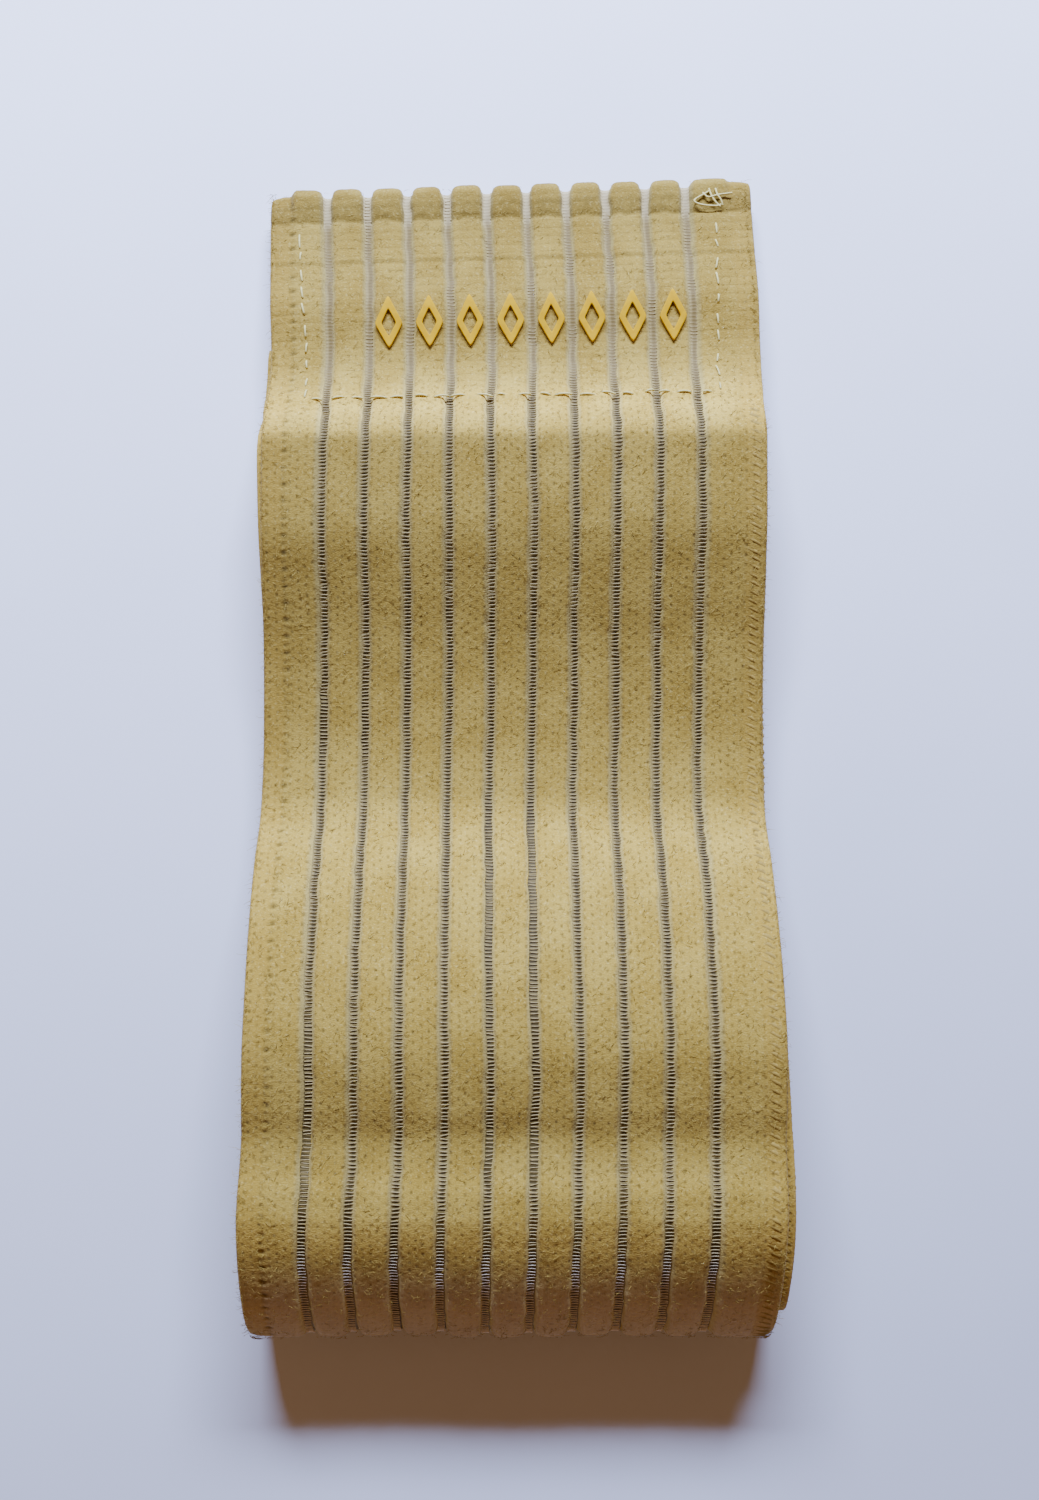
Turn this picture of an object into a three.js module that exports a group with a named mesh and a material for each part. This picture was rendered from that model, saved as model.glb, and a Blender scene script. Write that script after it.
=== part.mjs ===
// Compression bandage: a ribbed elastic band rolled flat into a long narrow bundle, five layers high.
// Its loose end is hemmed and lies over the roll, with a hook patch below and a row of raised marks on top.
// Millimetres, +Z up, +Y towards the loose end, origin under the middle of the bundle, on what it lies on.
import * as THREE from "three";

const { clamp, degToRad, lerp, smoothstep } = THREE.MathUtils;

// Elastic band
const BAND_WIDTH = 80;
const BAND_THICKNESS = 1.35;
const SELVEDGE_WIDTH = 3.3;
const SELVEDGE_THICKNESS = 0.95;
const EDGE_TO_CHANNEL = 9.2;
const CHANNEL_PITCH = 6.75;
const CHANNEL_WIDTH = 1.3;
const CHANNEL_WEB = 0.4;
const CHANNEL_BEVEL = 0.15;

// Flat roll
const ROLL_LENGTH = 188;
const LAYER_GAP = 0.3;
const POCKET_HEIGHT = 16.5;
const FREE_END_HEIGHT = 10.5;
const FREE_END_BLEND = 3;

// Hem of the loose end
const HEM_TURN = 12.5;
const HEM_ROLL = 5.6;
const HEM_PUFF = 0.35;
const HEM_TAPER = 5.6;

// Hook patch under the loose end
const PATCH_WIDTH = 69;
const PATCH_LENGTH = 34;
const PATCH_THICKNESS = 1.3;
const PATCH_STEP = 4;
const PATCH_RISE = 9;

// Raised marks on the loose end, one to a rib
const MARK_HEIGHT = 9;
const MARK_WIDTH = 4.7;
const MARK_STROKE = 1;
const MARK_THICKNESS = 0.45;
const MARK_FROM_END = 25;

const SEAT_GAP = 0.3;
const PATH_STEP = 0.5;
const LAYER_TOLERANCE = 0.24;
const HEM_TOLERANCE = 0.04;
const FOLD_STEPS = 24;

// Top face of the outer layer. along: share of half the roll's length. bands and patches: what is stacked
// there. lift: share of the pocket height by which the springy band holds the face above that stack.
const TOP_FACE = [
  { along: -0.77, bands: 5, patches: 0, lift: 1.0 },
  { along: -0.74, bands: 5, patches: 0, lift: 0.988 },
  { along: -0.7, bands: 5, patches: 0, lift: 0.925 },
  { along: -0.653, bands: 5, patches: 0, lift: 0.885 },
  { along: -0.6, bands: 5, patches: 0, lift: 0.936 },
  { along: -0.528, bands: 5, patches: 0, lift: 0.97 },
  { along: -0.42, bands: 5, patches: 0, lift: 0.862 },
  { along: -0.3, bands: 5, patches: 0, lift: 0.632 },
  { along: -0.215, bands: 5, patches: 0, lift: 0.396 },
  { along: -0.148, bands: 5, patches: 0, lift: 0.142 },
  { along: -0.1, bands: 5, patches: 0, lift: 0.055 },
  { along: -0.02, bands: 5, patches: 0, lift: 0.003 },
  { along: 0.06, bands: 5, patches: 0, lift: 0.034 },
  { along: 0.16, bands: 5, patches: 0, lift: 0.12 },
  { along: 0.26, bands: 5, patches: 0, lift: 0.269 },
  { along: 0.36, bands: 5, patches: 0, lift: 0.398 },
  { along: 0.46, bands: 5, patches: 0, lift: 0.438 },
  { along: 0.496, bands: 5, patches: 0, lift: 0.45 },
  { along: 0.541, bands: 4, patches: 1, lift: 0.363 },
  { along: 0.576, bands: 3, patches: 1, lift: 0.33 },
  { along: 0.62, bands: 3, patches: 1, lift: 0.185 },
  { along: 0.668, bands: 3, patches: 1, lift: 0.085 },
  { along: 0.7, bands: 3, patches: 1, lift: 0.066 },
  { along: 0.769, bands: 2, patches: 1, lift: 0.195 },
  { along: 0.82, bands: 2, patches: 1, lift: 0.15 },
  { along: 0.878, bands: 2, patches: 1, lift: 0.085 },
  { along: 0.93, bands: 2, patches: 1, lift: 0.045 },
  { along: 0.985, bands: 2, patches: 1, lift: 0.012 },
];

// Folds. leaves and returns: where the upper and the lower layer meet it, tip: how far it reaches, all as
// shares of half the roll's length. height: the tip's place between its two layers. upper and lower: fullness
// of the two quarters, 2 being round. tolerance: how far straight pieces may stray from the curve, in mm.
const FOLDS = {
  outer: { leaves: -0.77, tip: -1.0, returns: -0.79, height: 0.38, upper: 1.4, lower: 2, tolerance: 0.12 },
  loose: { leaves: 0.681, tip: 0.704, returns: 0.681, height: 0.5, upper: 2, lower: 2, tolerance: 0.06 },
  nested: { leaves: -0.64, tip: -0.96, returns: -0.766, height: 0.38, upper: 1.8, lower: 2, tolerance: 0.25 },
  inner: { leaves: 0.447, tip: 0.507, returns: 0.447, height: 0.5, upper: 2.1, lower: 2.1, tolerance: 0.2 },
};
const FREE_END = -0.79;

// Sideways wander of the band. unrolled: share of its length from the turned end. shift: share of its
// width. turn: degrees by which the band is turned flat on the surface.
const WANDER = [
  { unrolled: 0, shift: -0.017, turn: 1.8 },
  { unrolled: 0.017, shift: -0.016, turn: 1.8 },
  { unrolled: 0.055, shift: -0.005, turn: 1.5 },
  { unrolled: 0.082, shift: -0.004, turn: 0.3 },
  { unrolled: 0.14, shift: -0.0075, turn: 0 },
  { unrolled: 0.2, shift: -0.003, turn: 0 },
  { unrolled: 0.24, shift: -0.009, turn: 0 },
  { unrolled: 0.3, shift: -0.015, turn: 0 },
  { unrolled: 0.47, shift: -0.0235, turn: 0 },
  { unrolled: 0.56, shift: -0.006, turn: 0 },
  { unrolled: 0.61, shift: 0.0035, turn: 0 },
  { unrolled: 0.65, shift: 0.0235, turn: 0 },
  { unrolled: 0.665, shift: 0.019, turn: 0 },
  { unrolled: 0.84, shift: 0.009, turn: 0 },
  { unrolled: 1, shift: 0.002, turn: 0 },
];

const HALF_LENGTH = ROLL_LENGTH / 2;
const HALF_BAND = BAND_THICKNESS / 2;
const LAYER_PITCH = BAND_THICKNESS + LAYER_GAP;
const PATCH_PITCH = PATCH_THICKNESS + LAYER_GAP;
const FACE_TO_PATCH = HALF_BAND + SEAT_GAP + PATCH_THICKNESS / 2;

// A smooth curve through a table's column that overshoots none of its rows.
function curveThrough(rows, place, column) {
  const xs = rows.map((row) => row[place]);
  const ys = rows.map((row) => row[column]);
  const rises = xs.slice(1).map((x, i) => (ys[i + 1] - ys[i]) / (x - xs[i]));
  const slopes = xs.map((x, i) => {
    if (i === 0) return rises[0];
    if (i === xs.length - 1) return rises[i - 1];
    const product = rises[i - 1] * rises[i];
    return product <= 0 ? 0 : (2 * product) / (rises[i - 1] + rises[i]);
  });
  return (x) => {
    const after = xs.findIndex((row) => row > x);
    const i = after < 0 ? xs.length - 2 : Math.max(0, after - 1);
    const span = xs[i + 1] - xs[i];
    const t = clamp((x - xs[i]) / span, 0, 1);
    const value = ys[i] * (1 + 2 * t) * (1 - t) ** 2 + ys[i + 1] * t * t * (3 - 2 * t);
    return value + span * (slopes[i] * t * (1 - t) ** 2 - slopes[i + 1] * t * t * (1 - t));
  };
}

const bandsAt = curveThrough(TOP_FACE, "along", "bands");
const patchesAt = curveThrough(TOP_FACE, "along", "patches");
const liftAt = curveThrough(TOP_FACE, "along", "lift");
const shiftAt = curveThrough(WANDER, "unrolled", "shift");
const turnAt = curveThrough(WANDER, "unrolled", "turn");

// Middle height of the outer layer along the top of the roll.
function topLayer(y) {
  const along = y / HALF_LENGTH;
  const stack = bandsAt(along) * LAYER_PITCH + patchesAt(along) * PATCH_PITCH - LAYER_GAP;
  return stack + liftAt(along) * POCKET_HEIGHT - HALF_BAND;
}

// How much further a sloping layer's neighbour lies below it than a level one's.
function slant(layer, y) {
  const reach = PATH_STEP;
  return Math.hypot(1, (layer(y + reach) - layer(y - reach)) / (2 * reach));
}

// Place up to which the second layer has to stay clear of the patch, whose turned corner reaches furthest.
const turnedCorner = (PATCH_WIDTH / 2) * Math.sin(degToRad(WANDER[0].turn));
const patchClearance = HALF_LENGTH - HEM_ROLL - PATCH_LENGTH - PATCH_THICKNESS - turnedCorner;

// Layer that comes back from the loose fold and lies against the outer one, below the patch where that is.
function secondLayer(y) {
  const underPatch = smoothstep(y, patchClearance - PATCH_RISE, patchClearance);
  const above = Math.min(topLayer(y), topLayer(y + underPatch * turnedCorner));
  return above - (LAYER_PITCH + underPatch * PATCH_PITCH) * slant(topLayer, y);
}

// Innermost layer, which follows the second one and levels out at the free end's height, in a parabola
// as long as the blend.
function innerLayer(y) {
  const against = secondLayer(y) - LAYER_PITCH * slant(secondLayer, y);
  const overlap = Math.max(0, 1 - Math.abs(against - FREE_END_HEIGHT) / FREE_END_BLEND);
  return Math.min(against, FREE_END_HEIGHT) - (overlap * overlap * FREE_END_BLEND) / 4;
}

// End of the band that is turned under at the hem.
function turnedEnd(y) {
  const rollMiddle = HALF_LENGTH - HEM_ROLL / 2;
  const puff = smoothstep(y, rollMiddle - HEM_TAPER, rollMiddle) * HEM_PUFF;
  return topLayer(y) - (LAYER_PITCH + puff) * slant(topLayer, y);
}

const groundLayer = () => HALF_BAND;
const raisedLayer = () => HALF_BAND + LAYER_PITCH;

// Points of a layer between two places.
function layerPoints(layer, from, to) {
  const count = Math.max(2, Math.ceil(Math.abs(to - from) / PATH_STEP));
  return Array.from({ length: count }, (_, i) => {
    const y = from + ((to - from) * (i + 0.5)) / count;
    return new THREE.Vector2(y, layer(y));
  });
}

// Points of a fold from the layer that enters it to the layer that leaves it, in two full quarters.
function foldPoints(start, tip, end, fullness) {
  const quarter = (from, power) =>
    Array.from({ length: FOLD_STEPS + 1 }, (_, i) => {
      const angle = (Math.PI / 2) * (i / FOLD_STEPS);
      const across = Math.sin(angle) ** (2 / power);
      const up = Math.cos(angle) ** (2 / power);
      return new THREE.Vector2(from.x + (tip.x - from.x) * across, tip.y + (from.y - tip.y) * up);
    });
  return [...quarter(start, fullness[0]), ...quarter(end, fullness[1]).reverse().slice(1)];
}

// Points of one of the roll's folds, between an upper and a lower layer.
function rollFold(fold, upperLayer, lowerLayer, startsAbove) {
  const on = (layer, along) => new THREE.Vector2(along * HALF_LENGTH, layer(along * HALF_LENGTH));
  const above = on(upperLayer, fold.leaves);
  const below = on(lowerLayer, fold.returns);
  const tip = new THREE.Vector2(
    fold.tip * HALF_LENGTH - Math.sign(fold.tip) * HALF_BAND,
    lerp(below.y, above.y, fold.height),
  );
  return startsAbove
    ? foldPoints(above, tip, below, [fold.upper, fold.lower])
    : foldPoints(below, tip, above, [fold.lower, fold.upper]);
}

// The band's middle seen from the side, from the turned end through all five layers to the free end.
// Each part has its points and how far straight pieces may stray from them.
function bandParts() {
  const hemStart = HALF_LENGTH - BAND_THICKNESS;
  const hemLow = new THREE.Vector2(hemStart, turnedEnd(hemStart));
  const hemTop = new THREE.Vector2(hemStart, topLayer(hemStart));
  const hemTip = new THREE.Vector2(HALF_LENGTH - HALF_BAND, (hemLow.y + hemTop.y) / 2);
  const { outer, loose, nested, inner } = FOLDS;
  const layer = (height, from, to) => ({
    points: layerPoints(height, from * HALF_LENGTH, to * HALF_LENGTH),
    tolerance: LAYER_TOLERANCE,
  });
  const fold = (shape, above, below, startsAbove) => ({
    points: rollFold(shape, above, below, startsAbove),
    tolerance: shape.tolerance,
  });
  return [
    layer(turnedEnd, 1 - HEM_TURN / HALF_LENGTH, hemStart / HALF_LENGTH),
    { points: foldPoints(hemLow, hemTip, hemTop, [2, 2]), tolerance: HEM_TOLERANCE },
    layer(topLayer, hemStart / HALF_LENGTH, outer.leaves),
    fold(outer, topLayer, groundLayer, true),
    layer(groundLayer, outer.returns, loose.returns),
    fold(loose, secondLayer, groundLayer, false),
    layer(secondLayer, loose.leaves, nested.leaves),
    fold(nested, secondLayer, raisedLayer, true),
    layer(raisedLayer, nested.returns, inner.returns),
    fold(inner, innerLayer, raisedLayer, false),
    layer(innerLayer, inner.leaves, FREE_END),
  ];
}

const parts = bandParts();
const line = parts.flatMap((part) => part.points);
const unrolled = [0];
line.slice(1).forEach((point, i) => unrolled.push(unrolled[i] + point.distanceTo(line[i])));
const bandLength = unrolled[unrolled.length - 1];

// The band's local frame at a distance from its turned end: middle point, across and outward directions.
function frameAt(distance) {
  const after = unrolled.findIndex((length) => length > distance);
  const i = after < 0 ? line.length - 2 : Math.max(0, after - 1);
  const t = (distance - unrolled[i]) / (unrolled[i + 1] - unrolled[i]);
  const middle = new THREE.Vector2().lerpVectors(line[i], line[i + 1], t);
  const before = line[Math.max(0, i - 1)];
  const behind = line[Math.min(line.length - 1, i + 2)];
  const heading = new THREE.Vector2().subVectors(behind, before).normalize();
  const share = distance / bandLength;
  const turn = degToRad(turnAt(share));
  return {
    middle: new THREE.Vector3(shiftAt(share) * BAND_WIDTH, middle.x, middle.y),
    across: new THREE.Vector3(Math.cos(turn), Math.sin(turn), 0),
    outward: new THREE.Vector3(0, heading.y, -heading.x),
  };
}

// A point of the band's space: distance from the turned end, place across, height above the band's middle.
function onBand(distance, across, height) {
  const frame = frameAt(distance);
  return frame.middle.addScaledVector(frame.across, across).addScaledVector(frame.outward, height);
}

// Distances at which sections are needed so that straight pieces between them stay close to the line.
function sectionDistances() {
  const kept = new Set();
  const split = (a, b, tolerance) => {
    const chord = new THREE.Vector2().subVectors(line[b], line[a]);
    let worst = 0;
    let place = a;
    for (let i = a + 1; i < b; i += 1) {
      const offset = new THREE.Vector2().subVectors(line[i], line[a]);
      const away = Math.abs(chord.cross(offset)) / chord.length();
      if (away > worst) {
        worst = away;
        place = i;
      }
    }
    if (worst < tolerance) return;
    kept.add(place);
    split(a, place, tolerance);
    split(place, b, tolerance);
  };
  let first = 0;
  for (const { points, tolerance } of parts) {
    const last = Math.min(first + points.length, line.length - 1);
    const middle = Math.round((first + last) / 2);
    [first, middle, last].forEach((index) => kept.add(index));
    split(first, middle, tolerance);
    split(middle, last, tolerance);
    first = last;
  }
  return [...kept].sort((a, b) => a - b).map((index) => unrolled[index]);
}

// Closed body swept along the band: each distance has a ring of points made from an outline of Vector2.
function sweptBody(distances, outline, heightAt = () => 0) {
  const size = outline.length;
  const positions = [];
  for (const distance of distances) {
    for (const point of outline) {
      positions.push(...onBand(distance, point.x, point.y + heightAt(distance)).toArray());
    }
  }
  const index = [];
  for (let ring = 0; ring < distances.length - 1; ring += 1) {
    for (let k = 0; k < size; k += 1) {
      const a = ring * size + k;
      const b = ring * size + ((k + 1) % size);
      index.push(a, b, a + size, b, b + size, a + size);
    }
  }
  const lastRing = (distances.length - 1) * size;
  for (const [a, b, c] of THREE.ShapeUtils.triangulateShape(outline, [])) {
    index.push(c, b, a, lastRing + a, lastRing + b, lastRing + c);
  }
  const geometry = new THREE.BufferGeometry();
  geometry.setAttribute("position", new THREE.Float32BufferAttribute(positions, 3));
  geometry.setIndex(index);
  geometry.computeVertexNormals();
  return geometry;
}

// Channel middles across the band, counted from its left edge, with a wide rib left at both edges.
function channelPlaces() {
  const count = Math.floor((BAND_WIDTH - 2 * EDGE_TO_CHANNEL) / CHANNEL_PITCH) + 1;
  return Array.from({ length: count }, (_, i) => -BAND_WIDTH / 2 + EDGE_TO_CHANNEL + i * CHANNEL_PITCH);
}

// Section of the band: thin selvedges, flat ribs, and channels cut down to a thin web on the outer face.
function bandOutline() {
  const edge = BAND_WIDTH / 2;
  const shoulder = edge - SELVEDGE_WIDTH;
  const half = CHANNEL_WIDTH / 2;
  const floor = CHANNEL_WEB - HALF_BAND;
  const outer = channelPlaces().flatMap((place) => [
    [place - half - CHANNEL_BEVEL, HALF_BAND],
    [place - half, floor],
    [place + half, floor],
    [place + half + CHANNEL_BEVEL, HALF_BAND],
  ]);
  const corners = [
    [-edge, -HALF_BAND],
    [-edge, SELVEDGE_THICKNESS / 2],
    [-shoulder, SELVEDGE_THICKNESS / 2],
    [-shoulder + CHANNEL_BEVEL, HALF_BAND],
    ...outer,
    [shoulder - CHANNEL_BEVEL, HALF_BAND],
    [shoulder, SELVEDGE_THICKNESS / 2],
    [edge, SELVEDGE_THICKNESS / 2],
    [edge, -HALF_BAND],
  ];
  return corners.map(([x, y]) => new THREE.Vector2(x, y)).reverse();
}

function elasticBand() {
  const material = new THREE.MeshStandardMaterial({ color: 0xb8a87a, roughness: 0.92, metalness: 0 });
  const mesh = new THREE.Mesh(sweptBody(sectionDistances(), bandOutline()), material);
  mesh.name = "elastic_band";
  return mesh;
}

// Distance along the band of the hem's outer edge, where the loose end begins.
const hemEdge = unrolled[line.reduce((best, point, i) => (point.x > line[best].x ? i : best), 0)];

// Hook patch: a flat sheet that follows the loose end from below and steps down under the turned end.
function hookPatch() {
  const first = hemEdge + HEM_ROLL;
  const turnEnds = hemEdge + HEM_TURN;
  const count = Math.ceil(PATCH_LENGTH / PATCH_STEP) * 2;
  const distances = Array.from({ length: count + 1 }, (_, i) => first + (PATCH_LENGTH * i) / count);
  const underTurn = (distance) => 1 - smoothstep(distance, turnEnds, turnEnds + PATCH_STEP);
  const half = new THREE.Vector2(PATCH_WIDTH / 2, PATCH_THICKNESS / 2);
  const outline = [
    new THREE.Vector2(-half.x, -half.y),
    new THREE.Vector2(half.x, -half.y),
    half,
    new THREE.Vector2(-half.x, half.y),
  ];
  const heightAt = (distance) => -FACE_TO_PATCH - underTurn(distance) * LAYER_PITCH;
  const material = new THREE.MeshStandardMaterial({ color: 0xd8ccae, roughness: 0.7, metalness: 0 });
  const mesh = new THREE.Mesh(sweptBody(distances, outline, heightAt), material);
  mesh.name = "hook_patch";
  return mesh;
}

// Outline of a diamond, with a point in the middle of each side so that it can follow the cloth.
function diamond(width, height) {
  const corners = [
    new THREE.Vector2(width / 2, 0),
    new THREE.Vector2(0, height / 2),
    new THREE.Vector2(-width / 2, 0),
    new THREE.Vector2(0, -height / 2),
  ];
  return corners.flatMap((corner, i) => {
    const next = corners[(i + 1) % corners.length];
    return [corner, new THREE.Vector2().addVectors(corner, next).divideScalar(2)];
  });
}

// One raised mark: a hollow diamond laid on the middle of a rib, its sides MARK_STROKE wide.
function raisedMark(number, place) {
  const shape = new THREE.Shape(diamond(MARK_WIDTH, MARK_HEIGHT));
  const tallness = MARK_HEIGHT / MARK_WIDTH;
  const holeWidth = MARK_WIDTH - 2 * MARK_STROKE * Math.hypot(1, 1 / tallness);
  shape.holes.push(new THREE.Path(diamond(holeWidth, holeWidth * tallness)));
  const geometry = new THREE.ExtrudeGeometry(shape, { depth: MARK_THICKNESS, bevelEnabled: false });
  const position = geometry.getAttribute("position");
  for (let i = 0; i < position.count; i += 1) {
    const distance = hemEdge + MARK_FROM_END - position.getY(i);
    const height = HALF_BAND + SEAT_GAP + position.getZ(i);
    position.setXYZ(i, ...onBand(distance, place + position.getX(i), height).toArray());
  }
  geometry.deleteAttribute("normal");
  geometry.computeVertexNormals();
  const material = new THREE.MeshStandardMaterial({ color: 0xf2b705, roughness: 0.45, metalness: 0 });
  const mesh = new THREE.Mesh(geometry, material);
  mesh.name = `print_mark_${number}`;
  return mesh;
}

const roll = new THREE.Group();
roll.add(elasticBand(), hookPatch());
channelPlaces()
  .slice(1, -1)
  .forEach((place, i) => roll.add(raisedMark(i + 1, place + CHANNEL_PITCH / 2)));

// The turned loose end reaches a little further at one corner, so the roll is set back over its middle.
const middle = new THREE.Box3().setFromObject(roll, true).getCenter(new THREE.Vector3());
roll.position.set(-middle.x, -middle.y, 0);

const bandage = new THREE.Group();
bandage.add(roll);

export default bandage;
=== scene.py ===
"""Compression bandage: a ribbed elastic band rolled flat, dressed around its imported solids."""

import logging
import math
from dataclasses import dataclass, field
from enum import Enum
from typing import Callable, Sequence

import bpy
import numpy as np
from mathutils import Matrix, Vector


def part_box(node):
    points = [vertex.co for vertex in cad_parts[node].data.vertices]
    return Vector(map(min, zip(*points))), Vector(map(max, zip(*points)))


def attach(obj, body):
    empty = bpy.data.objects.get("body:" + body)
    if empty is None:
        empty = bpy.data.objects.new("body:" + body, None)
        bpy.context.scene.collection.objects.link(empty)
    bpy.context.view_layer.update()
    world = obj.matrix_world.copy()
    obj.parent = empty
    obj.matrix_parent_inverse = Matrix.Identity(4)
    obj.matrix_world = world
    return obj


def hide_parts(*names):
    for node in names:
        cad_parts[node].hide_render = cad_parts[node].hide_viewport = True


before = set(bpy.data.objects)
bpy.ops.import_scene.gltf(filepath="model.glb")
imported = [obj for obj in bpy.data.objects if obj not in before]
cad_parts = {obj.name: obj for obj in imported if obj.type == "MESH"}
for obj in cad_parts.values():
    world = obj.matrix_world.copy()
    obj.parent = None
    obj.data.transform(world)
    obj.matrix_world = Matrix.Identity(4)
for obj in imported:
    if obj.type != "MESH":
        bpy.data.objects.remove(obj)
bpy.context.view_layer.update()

Array = np.ndarray
Colour = tuple[float, float, float]
Value = float | bpy.types.NodeSocket

log = logging.getLogger("bandage")

MM = 0.001
BODY = "root"


class Slot(Enum):
    """Material slots of the record."""

    KNIT = "elastic_knit"
    HOOK = "hook_tape"
    PRINT = "raised_print"


@dataclass(frozen=True)
class FaceRow:
    """One place of the top face. along: share of half the roll's length. bands, patches: what is
    stacked there. lift: share of the pocket height by which the face stands above that stack."""

    along: float
    bands: float
    patches: float
    lift: float


@dataclass(frozen=True)
class Fold:
    """One fold of the roll, as shares of half its length. height: the tip's place between its two
    layers. upper, lower: fullness of the two quarters, 2 being round."""

    leaves: float
    tip: float
    returns: float
    height: float
    upper: float
    lower: float


@dataclass(frozen=True)
class WanderRow:
    """Sideways wander. unrolled: share of the band's length from the turned end. shift: share of its
    width. turn: degrees by which the band is turned flat."""

    unrolled: float
    shift: float
    turn: float


@dataclass(frozen=True)
class PaintedLightRow:
    """Painted light and shade at a place. away: millimetres from the hem's edge. The other field: factor on
    the yarn's plain colour, above 1 painted light and below 1 painted shade."""

    away: float
    tone: float


TOP_FACE = (
    FaceRow(-0.77, 5, 0, 1.0),
    FaceRow(-0.74, 5, 0, 0.988),
    FaceRow(-0.7, 5, 0, 0.925),
    FaceRow(-0.653, 5, 0, 0.885),
    FaceRow(-0.6, 5, 0, 0.936),
    FaceRow(-0.528, 5, 0, 0.97),
    FaceRow(-0.42, 5, 0, 0.862),
    FaceRow(-0.3, 5, 0, 0.632),
    FaceRow(-0.215, 5, 0, 0.396),
    FaceRow(-0.148, 5, 0, 0.142),
    FaceRow(-0.1, 5, 0, 0.055),
    FaceRow(-0.02, 5, 0, 0.003),
    FaceRow(0.06, 5, 0, 0.034),
    FaceRow(0.16, 5, 0, 0.12),
    FaceRow(0.26, 5, 0, 0.269),
    FaceRow(0.36, 5, 0, 0.398),
    FaceRow(0.46, 5, 0, 0.438),
    FaceRow(0.496, 5, 0, 0.45),
    FaceRow(0.541, 4, 1, 0.363),
    FaceRow(0.576, 3, 1, 0.33),
    FaceRow(0.62, 3, 1, 0.185),
    FaceRow(0.668, 3, 1, 0.085),
    FaceRow(0.7, 3, 1, 0.066),
    FaceRow(0.769, 2, 1, 0.195),
    FaceRow(0.82, 2, 1, 0.15),
    FaceRow(0.878, 2, 1, 0.085),
    FaceRow(0.93, 2, 1, 0.045),
    FaceRow(0.985, 2, 1, 0.012),
)
OUTER_FOLD = Fold(leaves=-0.77, tip=-1.0, returns=-0.79, height=0.38, upper=1.4, lower=2.0)
LOOSE_FOLD = Fold(leaves=0.681, tip=0.704, returns=0.681, height=0.5, upper=2.0, lower=2.0)
NESTED_FOLD = Fold(leaves=-0.64, tip=-0.96, returns=-0.766, height=0.38, upper=1.8, lower=2.0)
INNER_FOLD = Fold(leaves=0.447, tip=0.507, returns=0.447, height=0.5, upper=2.1, lower=2.1)
FREE_END = -0.79

WANDER = (
    WanderRow(0.0, -0.017, 1.8),
    WanderRow(0.017, -0.016, 1.8),
    WanderRow(0.055, -0.005, 1.5),
    WanderRow(0.082, -0.004, 0.3),
    WanderRow(0.14, -0.0075, 0.0),
    WanderRow(0.2, -0.003, 0.0),
    WanderRow(0.24, -0.009, 0.0),
    WanderRow(0.3, -0.015, 0.0),
    WanderRow(0.47, -0.0235, 0.0),
    WanderRow(0.56, -0.006, 0.0),
    WanderRow(0.61, 0.0035, 0.0),
    WanderRow(0.65, 0.0235, 0.0),
    WanderRow(0.665, 0.019, 0.0),
    WanderRow(0.84, 0.009, 0.0),
    WanderRow(1.0, 0.002, 0.0),
)

# Painted light and shade along the band: painted highlights on the loose end's crest and on the roll's lit
# slope, painted shade where the face turns from the light, and painted light on the fold, which lies in
# shade.
PAINTED_LIGHT_ROWS = (
    PaintedLightRow(-8, 0.95),
    PaintedLightRow(6, 0.97),
    PaintedLightRow(12, 1.06),
    PaintedLightRow(30, 1.12),
    PaintedLightRow(37, 1.45),
    PaintedLightRow(41.5, 1.85),
    PaintedLightRow(45.5, 1.62),
    PaintedLightRow(47.8, 1.45),
    PaintedLightRow(49.4, 1.04),
    PaintedLightRow(60, 0.97),
    PaintedLightRow(69, 0.88),
    PaintedLightRow(76, 0.88),
    PaintedLightRow(98, 1.03),
    PaintedLightRow(106, 1.12),
    PaintedLightRow(111, 1.44),
    PaintedLightRow(117, 1.52),
    PaintedLightRow(126, 1.38),
    PaintedLightRow(140, 1.2),
    PaintedLightRow(147, 1.06),
    PaintedLightRow(155, 0.99),
    PaintedLightRow(163, 0.96),
    PaintedLightRow(168, 1.1),
    PaintedLightRow(172, 1.1),
    PaintedLightRow(175, 1.3),
    PaintedLightRow(177.5, 1.28),
    PaintedLightRow(180, 1.12),
    PaintedLightRow(182, 1.14),
    PaintedLightRow(186, 1.26),
    PaintedLightRow(190, 1.5),
    PaintedLightRow(240, 1.5),
)


def smoothstep(x: Array, low: float, high: float) -> Array:
    """Eased rise from 0 at low to 1 at high."""
    t = np.clip((np.asarray(x, float) - low) / (high - low), 0.0, 1.0)
    return t * t * (3 - 2 * t)


def hump(x: Array, middle: float, reach: float) -> Array:
    """Bell that is 1 at its middle and dies out over about twice its reach."""
    return np.exp(-(((np.asarray(x, float) - middle) / reach) ** 2))


def soft_noise(x: Array, y: Array, cell: tuple[float, float], seed: int) -> Array:
    """Smooth random field between -1 and 1.

    Args:
        x: First coordinate of each place.
        y: Second coordinate of each place.
        cell: Size of one cell of the field along x and y.
        seed: Number that picks the field.

    Returns:
        The field's value at each place.
    """
    size = 257
    lattice = np.random.default_rng(seed).uniform(-1, 1, (size, size))
    across, along = np.broadcast_arrays(np.asarray(x, float) / cell[0], np.asarray(y, float) / cell[1])
    i, j = np.floor(across).astype(int), np.floor(along).astype(int)
    s, t = smoothstep(across - i, 0, 1), smoothstep(along - j, 0, 1)
    near = lattice[i % size, j % size] * (1 - s) + lattice[(i + 1) % size, j % size] * s
    far = lattice[i % size, (j + 1) % size] * (1 - s) + lattice[(i + 1) % size, (j + 1) % size] * s
    return near * (1 - t) + far * t


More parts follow.
